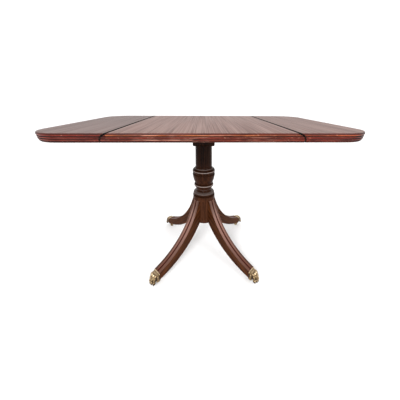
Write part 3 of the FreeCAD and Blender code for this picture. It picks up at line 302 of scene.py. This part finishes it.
# Painted shade: the shaft stays darkest under the top, and the urn and hub are painted lighter by height.
lit_hub_wood = mix(tree, ramp(tree, streaks, *hub_streak_band), lit_hub_dark, lit_hub_brown)
colour = mix(tree, ramp(tree, height, urn_top, urn_foot, 0.0, urn_share), colour, lit_hub_wood)
colour = mix(tree, ramp(tree, height, ring_foot, hub_top, 0.0, hub_share), colour, lit_hub_wood)
colour = mix(tree, ramp(tree, pores, *stand_pore_band), colour, stand_dark)
# Painted highlights: pale grey bands on the beads' crowns.
for crown, reach, bead_highlight_share in bead_highlights:
    colour = mix(tree, near(tree, height, crown, reach, bead_core, bead_highlight_share), colour, bead_highlight)
surface(tree, shader, colour, ramp(tree, cloud, *stand_polish), pores, *pore_relief)
shader.inputs["Specular IOR Level"].default_value = stand_specular
dress(("column", "cap_block"), stand_material)


# The four sabre legs: mahogany sawn to the sweep with the grain along the leg, reeded above, left plain on
# the sides, stained dark and polished; the reeds are worn lighter and redder, and their upward faces carry a
# painted highlight.
corners = (("rear_right", 45), ("rear_left", 135), ("front_left", 225), ("front_right", 315))
leg_turn, leg_slope = math.radians(45), math.radians(40)
leg_dark = (0.020, 0.0058, 0.0022, 1)
leg_light = (0.090, 0.029, 0.0095, 1)
# Colours of the painted highlight on the reeds' upward faces, partly worn polish.
leg_rub_highlight = (0.30, 0.166, 0.134, 1)
leg_pale_highlight = (0.30, 0.190, 0.160, 1)
leg_red, red_half, red_core, red_share = (0.160, 0.038, 0.020, 1), 0.0066, 0.5, 0.8
leg_groove, groove_half = (0.016, 0.0028, 0.0018, 1), 0.0046
leg_quirk, quirk_half = 0.0175, 0.0014
# Heights of the feet, shins and knees, and the share of the painted highlight left at the feet.
foot_height, shin_height, knee_height = 0.05, 0.22, 0.30
foot_highlight_share, knee_redness = 0.40, 0.35
leg_streak_grain, leg_streak_band = ((0.035, 1.0, 1.0), 220.0, 5.0, 0.7), (0.36, 0.68)
leg_cloud_grain, leg_cloud_band = ((0.3, 1.0, 1.0), 14.0, 3.0), (0.45, 0.75, 0.0, 0.3)
leg_pore_grain, leg_pore_band = ((0.05, 1.0, 1.0), 900.0, 2.0), (0.60, 0.72, 0.0, 0.5)
highlight_turn, highlight_cloud, reeded_turn = (0.12, 0.5), (0.2, 0.6, 0.35, 0.8), (0.05, 0.2)
leg_polish, leg_specular = (0.30, 0.75, 0.24, 0.40), 0.03

leg_material, tree, shader = new_material("leg_mahogany")
place = add(tree, "ShaderNodeTexCoord").outputs["Object"]
normal = add(tree, "ShaderNodeTexCoord").outputs["Normal"]
height = add(tree, "ShaderNodeSeparateXYZ", {0: place}).outputs[2]
away = add(tree, "ShaderNodeVectorMath", {0: place}, operation="ABSOLUTE").outputs[0]
square = add(tree, "ShaderNodeMapping", {"Vector": away, "Rotation": (0, 0, -leg_turn)}).outputs[0]
along = add(tree, "ShaderNodeMapping", {"Vector": square, "Rotation": (0, -leg_slope, 0)}).outputs[0]
across = add(tree, "ShaderNodeSeparateXYZ", {0: square}).outputs[1]
across = calc(tree, "ABSOLUTE", across)
upward = dot(tree, normal, (0, 0, 1))
reeded = ramp(tree, upward, *reeded_turn)
cloud = grain(tree, along, *leg_cloud_grain)
pores = grain(tree, along, *leg_pore_grain)
colour = mix(tree, ramp(tree, grain(tree, along, *leg_streak_grain), *leg_streak_band), leg_dark, leg_light)
colour = mix(tree, ramp(tree, cloud, *leg_cloud_band), colour, leg_light)
# Painted highlight on the upward faces, in clouds, fading towards the feet and paler towards the knees;
# partly worn polish.
rub_and_highlight = calc(tree, "MULTIPLY", ramp(tree, upward, *highlight_turn), ramp(tree, cloud, *highlight_cloud))
rub_and_highlight = calc(tree, "MULTIPLY", rub_and_highlight, ramp(tree, height, foot_height, shin_height, foot_highlight_share, 1.0))
rub_highlight_colour = mix(tree, ramp(tree, height, shin_height, knee_height), leg_rub_highlight, leg_pale_highlight)
colour = mix(tree, rub_and_highlight, colour, rub_highlight_colour)
flank = calc(tree, "MULTIPLY", near(tree, across, 0.0, red_half, red_core, red_share), reeded)
flank = calc(tree, "MULTIPLY", flank, ramp(tree, height, knee_height, shin_height, knee_redness, 1.0))
colour = mix(tree, flank, colour, leg_red)
# The central groove and the quirks are painted darker.
in_groove = near(tree, across, 0.0, groove_half)
in_quirk = near(tree, across, leg_quirk, quirk_half)
darkened_lines = calc(tree, "MULTIPLY", calc(tree, "MAXIMUM", in_groove, in_quirk), reeded)
colour = mix(tree, darkened_lines, colour, leg_groove)
colour = mix(tree, ramp(tree, pores, *leg_pore_band), colour, leg_dark)
surface(tree, shader, colour, ramp(tree, cloud, *leg_polish), pores, *pore_relief)
shader.inputs["Specular IOR Level"].default_value = leg_specular
dress([corner + "_leg" for corner, turn in corners], leg_material)


# The under-frame: bearers, slides, keepers, pegs and the tenon's wedge, plain planed hardwood that was
# never polished and has gone brown and dusty under the top.
frame_dark = (0.075, 0.042, 0.024, 1)
frame_light = (0.205, 0.128, 0.076, 1)
frame_streak_grain, frame_streak_band = ((0.04, 1.0, 1.0), 170.0, 5.0, 0.7), (0.36, 0.68)
frame_cloud_grain, frame_cloud_band = ((0.5, 1.0, 1.0), 11.0, 3.0), (0.45, 0.75, 0.0, 0.4)
frame_dullness, frame_relief = (0.30, 0.75, 0.62, 0.82), (0.25, 0.0006)

frame_material, tree, shader = new_material("under_frame_bare_wood")
place = add(tree, "ShaderNodeTexCoord").outputs["Object"]
streaks = grain(tree, place, *frame_streak_grain)
colour = mix(tree, ramp(tree, streaks, *frame_streak_band), frame_dark, frame_light)
colour = mix(tree, ramp(tree, grain(tree, place, *frame_cloud_grain), *frame_cloud_band), colour, frame_dark)
surface(tree, shader, colour, ramp(tree, streaks, *frame_dullness), streaks, *frame_relief)
dress(("front_bearer", "rear_bearer", "left_keeper", "right_keeper", "left_slide", "right_slide",
       "left_slide_peg", "right_slide_peg", "tenon_wedge"), frame_material)


# The castors and the paws' cross pins: cast and turned brass, worn bright on the high places and brown
# with old polish and dirt in the hollows. Fork, axle and wheel of each castor move on their own bodies.
brass_bright = (0.54, 0.385, 0.20, 1)
brass_dull = (0.17, 0.104, 0.050, 1)
# Painted highlight for the upper faces; the dirt colour of the hollows is also the painted shade on the low
# sides.
brass_highlight = (0.84, 0.67, 0.44, 1)
brass_dirt_and_shade = (0.028, 0.014, 0.006, 1)
hair_back, hair_front, hair_share = (0.3255, 0.3275), (0.350, 0.343), 0.8
brass_patch_grain, brass_patch_band = ((1.0, 1.0, 1.0), 130.0, 5.0, 0.65), (0.36, 0.64)
brass_scratch_grain, brass_relief = ((1.0, 1.0, 0.3), 900.0, 3.0), (0.12, 0.0003)
# Turns of the face for the painted highlight and painted shade, and the band and samples for the hollows.
bright_turn, low_side_shade_turn, hollow_band, hollow_samples = (0.48, 0.74), (0.34, 0.04), (0.92, 0.50), 8
brass_metal, brass_polish = (0.35, 0.75, 0.35, 1.0), (0.30, 0.70, 0.24, 0.46)
castor_hollow, castor_painted_light = 0.006, 0.0


def brass(name, hollow, painted_light_share):
    """Worn brass, with dirt in hollows narrower than a given distance; at a given share, a painted highlight
    on the upper faces and painted shade on the low sides, with the hair behind the knuckles kept dull."""
    material, tree, shader = new_material(name)
    place = add(tree, "ShaderNodeTexCoord").outputs["Object"]
    normal = add(tree, "ShaderNodeTexCoord").outputs["Normal"]
    patches = grain(tree, place, *brass_patch_grain)
    scratches = grain(tree, place, *brass_scratch_grain)
    openness = add(tree, "ShaderNodeAmbientOcclusion", {"Distance": hollow}, samples=hollow_samples)
    open_share = openness.outputs["AO"]
    upward = dot(tree, normal, (0, 0, 1))
    level = add(tree, "ShaderNodeVectorMath", {0: place, 1: (1, 1, 0)}, operation="MULTIPLY").outputs[0]
    reach = length(tree, level)
    hair = calc(tree, "MULTIPLY", ramp(tree, reach, *hair_back), ramp(tree, reach, *hair_front))
    hair = calc(tree, "MULTIPLY", hair, hair_share * painted_light_share)
    colour = mix(tree, ramp(tree, patches, *brass_patch_band), brass_bright, brass_dull)
    # Painted highlight on the upward faces.
    colour = mix(tree, ramp(tree, upward, *bright_turn, 0.0, painted_light_share), colour, brass_highlight)
    colour = mix(tree, hair, colour, brass_dull)
    # Painted shade on the low and downward faces, in the colour of the dirt in the hollows.
    colour = mix(tree, ramp(tree, upward, *low_side_shade_turn, 0.0, painted_light_share), colour, brass_dirt_and_shade)
    colour = mix(tree, ramp(tree, open_share, *hollow_band), colour, brass_dirt_and_shade)
    surface(tree, shader, colour, ramp(tree, patches, *brass_polish), scratches, *brass_relief)
    tree.links.new(ramp(tree, open_share, *brass_metal), shader.inputs["Metallic"])
    return material


castor_nodes = ["%s_castor_%s" % (corner, kind) for corner, turn in corners
                for kind in ("fork", "axle", "wheel")]
dress(["paw_pins"] + castor_nodes, brass("castor_brass", castor_hollow, castor_painted_light))


# The four toe caps: lion's paws cast in brass, one to each leg. A rounded collar closes on the leg's end,
# tufts of hair lie behind the knuckles, and four toes with claws curl down in front of the castor.
# The pattern for the casting is in millimetres: reach from the table's middle, across the leg, height.
# The paws take nearly the full share of painted highlight and painted shade; the castors take none.
paw_hollow, paw_painted_light = 0.005, 0.93
millimetre = 0.001
paw_start, paw_floor = 322.0, 29.0
castor_axis = math.hypot(*pins["front_left_castor_swivel"][:2]) / millimetre
castor_sweep = 22.0
collar_sections, collar_squareness = (
    (322.0, 22.3, 29.0, 69.4), (322.6, 22.9, 29.0, 70.0), (325.4, 22.9, 29.0, 70.0),
    (326.2, 21.4, 29.0, 68.2)), 0.42
back_sections, back_squareness = (
    (324.0, 21.2, 27.0, 68.2), (330.0, 20.4, 27.0, 65.8), (336.0, 19.8, 27.0, 64.6),
    (342.0, 19.2, 27.0, 63.8), (346.8, 18.6, 27.0, 63.0), (349.4, 16.6, 27.0, 58.0),
    (352.6, 13.6, 27.0, 48.0)), 0.43
section_points = 32
inner_toe, outer_toe, outer_set_back = 5.2, 15.4, 4.5
knuckle, knuckle_radii, knuckle_tilt, knuckle_drop = (346.6, 59.6), (9.0, 4.7, 5.6), 42, 0.2
toe_middle, middle_radii, middle_tilt = (353.8, 44.0), (5.2, 4.7, 14.0), -25
toe_end, end_radii, end_tilt = (357.6, 25.4), (8.6, 5.2, 10.4), -10
claw, claw_radii, claw_tilt = (363.6, 17.2), (2.0, 1.9, 4.6), -16
hair_lines, hair_place, hair_fall = (-15.6, -9.4, -3.1, 3.1, 9.4, 15.6), (331.6, 65.6), 0.05
hair_radii, hair_tilt = (5.0, 2.2, 1.8), 12
tuft_reach, tuft_side, tuft_heights = 332.5, 20.6, (36.0, 44.0, 52.0)
tuft_radii, tuft_tilt = (5.6, 1.6, 3.0), 18
lump_rounding, skin_voxel, skin_softening, softening_rounds, faces_kept = 3, 0.6, 0.5, 2, 0.3


def lump(mesh, reach, across, height, radii, tilt):
    """One rounded lump of the paw's pattern, tilted about the crosswise axis by an angle in degrees."""
    shape = Matrix.Translation((reach, across, height)) @ Matrix.Rotation(math.radians(tilt), 4, "Y")
    shape = shape @ Matrix.Diagonal((*radii, 1))
    bmesh.ops.create_icosphere(mesh, subdivisions=lump_rounding, radius=1.0, matrix=shape)


def loft(mesh, sections, squareness):
    """A skin over rounded-square sections across the leg's line: (reach, half width, bottom, top)."""
    rings = []
    for reach, half, bottom, top in sections:
        ring = []
        for step in range(section_points):
            angle = 2 * math.pi * step / section_points
            across = math.copysign(abs(math.cos(angle)) ** squareness, math.cos(angle)) * half
            rise = math.copysign(abs(math.sin(angle)) ** squareness, math.sin(angle)) * (top - bottom) / 2
            ring.append(mesh.verts.new((reach, across, (top + bottom) / 2 + rise)))
        rings.append(ring)
    for ring, following in zip(rings, rings[1:]):
        for step in range(section_points):
            beyond = (step + 1) % section_points
            mesh.faces.new((ring[step], following[step], following[beyond], ring[beyond]))
    mesh.faces.new(rings[0])
    mesh.faces.new(rings[-1][::-1])


def paw_pattern():
    """The paw's lumps and skins, still separate, in the leg's own plane."""
    mesh = bmesh.new()
    loft(mesh, collar_sections, collar_squareness)
    loft(mesh, back_sections, back_squareness)
    for across in (-outer_toe, -inner_toe, inner_toe, outer_toe):
        back = outer_set_back if abs(across) == outer_toe else 0.0
        drop = knuckle_drop * back
        lump(mesh, knuckle[0] - back, across, knuckle[1] - drop, knuckle_radii, knuckle_tilt)
        lump(mesh, toe_middle[0] - back, across, toe_middle[1], middle_radii, middle_tilt)
        lump(mesh, toe_end[0] - back, across, toe_end[1], end_radii, end_tilt)
        lump(mesh, claw[0] - back, across, claw[1], claw_radii, claw_tilt)
    for across in hair_lines:
        lump(mesh, hair_place[0], across, hair_place[1] - abs(across) * hair_fall, hair_radii, hair_tilt)
    for side in (-1, 1):
        for height in tuft_heights:
            lump(mesh, tuft_reach, side * tuft_side, height, tuft_radii, tuft_tilt)
    data = bpy.data.meshes.new("paw_pattern")
    mesh.to_mesh(data)
    mesh.free()
    return data


def paw_casting():
    """The pattern joined under one skin, cut flat over the castor's sweep and at the leg's end."""
    model = bpy.data.objects.new("paw_pattern", paw_pattern())
    bpy.context.scene.collection.objects.link(model)
    join = model.modifiers.new("join", "REMESH")
    join.mode = "VOXEL"
    join.voxel_size = skin_voxel
    soften = model.modifiers.new("soften", "SMOOTH")
    soften.factor = skin_softening
    soften.iterations = softening_rounds
    thin = model.modifiers.new("thin", "DECIMATE")
    thin.ratio = faces_kept
    evaluated = model.evaluated_get(bpy.context.evaluated_depsgraph_get())
    joined = bpy.data.meshes.new_from_object(evaluated)
    bpy.data.objects.remove(model)
    for vertex in joined.vertices:
        x, y, z = vertex.co
        over_castor = (x - castor_axis) ** 2 + y ** 2 < castor_sweep ** 2
        if z < paw_floor and (over_castor or x < castor_axis):
            vertex.co.z = paw_floor
        vertex.co.x = max(vertex.co.x, paw_start)
    return joined


paw_brass = brass("paw_brass", paw_hollow, paw_painted_light)
casting = paw_casting()
for corner, turn in corners:
    mesh = casting.copy()
    mesh.name = corner + "_paw_cast"
    mesh.transform(Matrix.Rotation(math.radians(turn), 4, "Z") @ Matrix.Scale(millimetre, 4))
    mesh.materials.append(paw_brass)
    mesh.shade_smooth()
    piece = bpy.data.objects.new(corner + "_paw_cast", mesh)
    bpy.context.scene.collection.objects.link(piece)
    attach(piece, "base")
    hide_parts(corner + "_paw")
bpy.data.meshes.remove(casting)


# The hinges: pressed steel back flaps let in flush under the boards, with plain pins, all dulled by
# handling and a little rust; the hub's plate below is a blacksmith's iron disc, blackened.
steel_light = (0.30, 0.285, 0.265, 1)
steel_dark = (0.125, 0.115, 0.105, 1)
steel_rust = (0.115, 0.050, 0.022, 1)
iron_light = (0.070, 0.064, 0.058, 1)
iron_dark = (0.022, 0.021, 0.020, 1)
hinge_rust, plate_rust = 0.7, 0.4
steel_patch_grain, steel_patch_band = ((1.0, 1.0, 1.0), 110.0, 5.0, 0.65), (0.35, 0.65)
rust_grain, rust_band, rusty_metal = ((1.0, 1.0, 1.0), 260.0, 4.0, 0.7), (0.58, 0.70), (0.95, 0.3)
steel_polish, steel_relief = (0.30, 0.70, 0.36, 0.58), (0.15, 0.0003)


def steel(name, light, dark, rust_share):
    """Old bare metal with spots of rust."""
    material, tree, shader = new_material(name)
    place = add(tree, "ShaderNodeTexCoord").outputs["Object"]
    patches = grain(tree, place, *steel_patch_grain)
    spots = grain(tree, place, *rust_grain)
    colour = mix(tree, ramp(tree, patches, *steel_patch_band), light, dark)
    colour = mix(tree, ramp(tree, spots, *rust_band, 0.0, rust_share), colour, steel_rust)
    surface(tree, shader, colour, ramp(tree, patches, *steel_polish), spots, *steel_relief)
    tree.links.new(ramp(tree, spots, *rust_band, *rusty_metal), shader.inputs["Metallic"])
    return material


hinge_steel = steel("hinge_steel", steel_light, steel_dark, hinge_rust)
flap_nodes = ["%s_%s_%s_flap" % (side, where, kind) for side in ("left", "right")
              for where in ("front", "middle", "rear") for kind in ("fixed", "leaf")]
dress(["hinge_pins"] + flap_nodes, hinge_steel)
dress(["hub_plate"], steel("hub_iron", iron_light, iron_dark, plate_rust))


# The screws: slotted steel wood screws, countersunk in the flaps and in the hub plate, round-headed in the
# under-frame. They point up, and each slot was left at its own angle when the screw was driven home.
flap_head, flap_shank, flap_length = 0.0036, 0.0018, 0.016
frame_head, frame_dome, frame_shank, frame_length = 0.0045, 0.003, 0.0025, 0.030
slot_width, slot_depth, saw_length = 0.0009, 0.0008, 0.02
screw_sides, dome_steps, weld = 20, 8, 1e-6
slot_turn = 2.399


def middle(name, axis):
    """The middle of a CAD node along one axis."""
    low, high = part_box(name)
    return (low[axis] + high[axis]) / 2


underside, plate_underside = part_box("centre_top")[0][2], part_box("hub_plate")[0][2]
fixed_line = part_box("centre_hinge_screws")[1][0] - flap_head
leaf_line = middle("right_leaf_hinge_screws", 0)
hinge_lines = [middle("right_%s_fixed_flap" % where, 1) for where in ("front", "middle", "rear")]
flap_spread = 0.011
bearer_line, bearer_screws, bearer_seat = middle("rear_bearer", 1), (-0.200, 0.0, 0.200), 0.692
cap_screws, cap_seat = (-0.038, 0.038), 0.652
keeper_line, keeper_seat = middle("right_keeper", 0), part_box("right_keeper")[0][2]
plate_circle = 0.042


def slotted_screw(name, profile, top):
    """A turned screw from its half-section, with a slot sawn across the head."""
    mesh = bmesh.new()
    points = [mesh.verts.new((radius, 0, height)) for radius, height in profile]
    lines = [mesh.edges.new(pair) for pair in zip(points, points[1:])]
    bmesh.ops.spin(mesh, geom=points + lines, cent=(0, 0, 0), axis=(0, 0, 1), angle=2 * math.pi,
                   steps=screw_sides)
    bmesh.ops.remove_doubles(mesh, verts=mesh.verts, dist=weld)
    bmesh.ops.recalc_face_normals(mesh, faces=mesh.faces)
    data = bpy.data.meshes.new(name)
    mesh.to_mesh(data)
    mesh.free()
    cutter = bmesh.new()
    saw = Matrix.Translation((0, 0, top)) @ Matrix.Diagonal((saw_length, slot_width, 2 * slot_depth, 1))
    bmesh.ops.create_cube(cutter, size=1.0, matrix=saw)
    cutter_data = bpy.data.meshes.new(name + "_slot")
    cutter.to_mesh(cutter_data)
    cutter.free()
    screw = bpy.data.objects.new(name, data)
    slot = bpy.data.objects.new(name + "_slot", cutter_data)
    for item in (screw, slot):
        bpy.context.scene.collection.objects.link(item)
    cut = screw.modifiers.new("slot", "BOOLEAN")
    cut.object = slot
    cut.operation = "DIFFERENCE"
    cut.solver = "EXACT"
    sawn = bpy.data.meshes.new_from_object(screw.evaluated_get(bpy.context.evaluated_depsgraph_get()))
    screw.modifiers.clear()
    screw.data = sawn
    bpy.data.objects.remove(slot)
    return screw


def screw_tree():
    """Geometry nodes that set one screw on every point, turned by the point's own angle."""
    tree = bpy.data.node_groups.new("screw_set", "GeometryNodeTree")
    points = tree.interface.new_socket("Points", in_out="INPUT", socket_type="NodeSocketGeometry")
    screw = tree.interface.new_socket("Screw", in_out="INPUT", socket_type="NodeSocketObject")
    finish = tree.interface.new_socket("Finish", in_out="INPUT", socket_type="NodeSocketMaterial")
    tree.interface.new_socket("Screws", in_out="OUTPUT", socket_type="NodeSocketGeometry")
    start = tree.nodes.new("NodeGroupInput")
    end = tree.nodes.new("NodeGroupOutput")
    piece = tree.nodes.new("GeometryNodeObjectInfo")
    turn = tree.nodes.new("GeometryNodeInputNamedAttribute")
    turn.data_type = "FLOAT"
    turn.inputs["Name"].default_value = "turn"
    upright = tree.nodes.new("ShaderNodeCombineXYZ")
    spread = tree.nodes.new("GeometryNodeInstanceOnPoints")
    real = tree.nodes.new("GeometryNodeRealizeInstances")
    coat = tree.nodes.new("GeometryNodeSetMaterial")
    tree.links.new(start.outputs[points.name], spread.inputs["Points"])
    tree.links.new(start.outputs[screw.name], piece.inputs["Object"])
    tree.links.new(piece.outputs["Geometry"], spread.inputs["Instance"])
    tree.links.new(turn.outputs["Attribute"], upright.inputs["Z"])
    tree.links.new(upright.outputs[0], spread.inputs["Rotation"])
    tree.links.new(spread.outputs[0], real.inputs[0])
    tree.links.new(real.outputs[0], coat.inputs["Geometry"])
    tree.links.new(start.outputs[finish.name], coat.inputs["Material"])
    tree.links.new(coat.outputs[0], end.inputs[0])
    return tree, screw.identifier, finish.identifier


flap_screw = slotted_screw("flap_screw_model", (
    (0, 0), (flap_head, 0), (flap_shank, flap_head - flap_shank),
    (flap_shank, flap_length - 2 * flap_shank), (0, flap_length)), 0)
dome_turns = [step * math.pi / (2 * dome_steps) for step in range(dome_steps)]
dome = [(frame_head * math.sin(turn), -frame_dome * math.cos(turn)) for turn in dome_turns]
frame_screw = slotted_screw("frame_screw_model", dome + [
    (frame_head, 0), (frame_shank, 0), (frame_shank, frame_length - 2 * frame_shank),
    (0, frame_length)], -frame_dome)
spreads = [line + side * flap_spread for line in hinge_lines for side in (-1, 1)]
fixed_places = [(side * fixed_line, y, underside) for side in (-1, 1) for y in spreads]
frame_rows = ((bearer_screws, bearer_seat), (cap_screws, cap_seat),
              ((-keeper_line, keeper_line), keeper_seat))
frame_places = [(x, y, seat) for lines, seat in frame_rows for x in lines
                for y in (-bearer_line, bearer_line)]
plate_turns = [math.radians(turn) for corner, turn in corners]
plate_places = [(plate_circle * math.cos(turn), plate_circle * math.sin(turn), plate_underside)
                for turn in plate_turns]
screw_sets = (
    ("centre_hinge_screws", "base", flap_screw, fixed_places),
    ("left_leaf_hinge_screws", "left_leaf", flap_screw, [(-leaf_line, y, underside) for y in spreads]),
    ("right_leaf_hinge_screws", "right_leaf", flap_screw, [(leaf_line, y, underside) for y in spreads]),
    ("hub_plate_screws", "base", flap_screw, plate_places),
    ("frame_screws", "base", frame_screw, frame_places),
)
screw_group, screw_socket, finish_socket = screw_tree()
for node, body, model, places in screw_sets:
    data = bpy.data.meshes.new(node + "_slotted")
    data.from_pydata(places, [], [])
    turns = data.attributes.new("turn", "FLOAT", "POINT")
    for index in range(len(places)):
        turns.data[index].value = (index * slot_turn) % math.pi
    piece = bpy.data.objects.new(node + "_slotted", data)
    bpy.context.scene.collection.objects.link(piece)
    setting = piece.modifiers.new("screws", "NODES")
    setting.node_group = screw_group
    setting[screw_socket] = model
    setting[finish_socket] = hinge_steel
    piece.update_tag()
    evaluated = piece.evaluated_get(bpy.context.evaluated_depsgraph_get())
    plain = bpy.data.meshes.new_from_object(evaluated)
    piece.modifiers.clear()
    piece.data = plain
    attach(piece, body)
    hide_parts(node)
for model in (flap_screw, frame_screw):
    bpy.data.objects.remove(model)


# The floor and the light: a plain white studio sweep, bright behind and above, with the dimmer room and two
# soft boxes on the camera's side.
floor_half, floor_colour, floor_roughness = 30.0, (0.95, 0.95, 0.95, 1), 0.9
floor_corners = [(x * floor_half, y * floor_half, 0) for x, y in ((-1, -1), (1, -1), (1, 1), (-1, 1))]
floor_mesh = bpy.data.meshes.new("studio_floor")
floor_mesh.from_pydata(floor_corners, [], [(0, 1, 2, 3)])
floor_material, tree, shader = new_material("studio_paper")
shader.inputs["Base Color"].default_value = floor_colour
shader.inputs["Roughness"].default_value = floor_roughness
floor_mesh.materials.append(floor_material)
floor = bpy.data.objects.new("studio_floor", floor_mesh)
bpy.context.scene.collection.objects.link(floor)

sweep_white = (1.12, 1.12, 1.12, 1)
room_grey = (0.72, 0.72, 0.72, 1)
overhead_white = (1.50, 1.50, 1.50, 1)
sweep_side, sweep_band, overhead_band = (0, 1, 0.7), (-0.5, 0.15), (0.55, 0.85)
world = bpy.data.worlds.new("studio_world")
bpy.context.scene.world = world
world.use_nodes = True
tree = world.node_tree
toward = add(tree, "ShaderNodeTexCoord").outputs["Generated"]
sky = mix(tree, ramp(tree, dot(tree, toward, sweep_side), *sweep_band), room_grey, sweep_white)
sky = mix(tree, ramp(tree, dot(tree, toward, (0, 0, 1)), *overhead_band), sky, overhead_white)
tree.links.new(sky, tree.nodes["Background"].inputs["Color"])


def soft_light(name, place, aim, width, power):
    """A square soft box turned to a point."""
    light = bpy.data.lights.new(name, "AREA")
    light.shape = "SQUARE"
    light.size = width
    light.energy = power
    lamp = bpy.data.objects.new(name, light)
    lamp.location = place
    lamp.rotation_euler = (Vector(aim) - Vector(place)).to_track_quat("-Z", "Y").to_euler()
    bpy.context.scene.collection.objects.link(lamp)


soft_light("key_soft_box", place=(-0.7, -2.8, 2.2), aim=(0, 0, 0.5), width=0.8, power=70)
soft_light("fill_soft_box", place=(1.9, -2.3, 1.5), aim=(0, 0, 0.4), width=0.7, power=25)


# The camera: a wide lens near the table and a little above the top, fitted to the outlines of the top and of
# the feet in the photograph.
camera_data = bpy.data.cameras.new("photo_camera")
camera_data.sensor_width = 36.0
camera_data.lens = 17.282
camera_data.shift_x = -0.02095
camera_data.shift_y = -0.05
camera_data.clip_start = 0.01
camera = bpy.data.objects.new("photo_camera", camera_data)
camera_yaw, camera_tilt, camera_roll = math.radians(-1.71), math.radians(67.14), math.radians(0.30)
camera_turn = Matrix.Rotation(camera_yaw, 4, "Z") @ Matrix.Rotation(camera_tilt, 4, "X")
camera_turn = camera_turn @ Matrix.Rotation(camera_roll, 4, "Z")
camera.location = (-0.00383, -0.9153, 0.83234)
camera.rotation_euler = camera_turn.to_euler()
bpy.context.scene.collection.objects.link(camera)
bpy.context.scene.camera = camera
bpy.context.scene.view_settings.view_transform = "Standard"
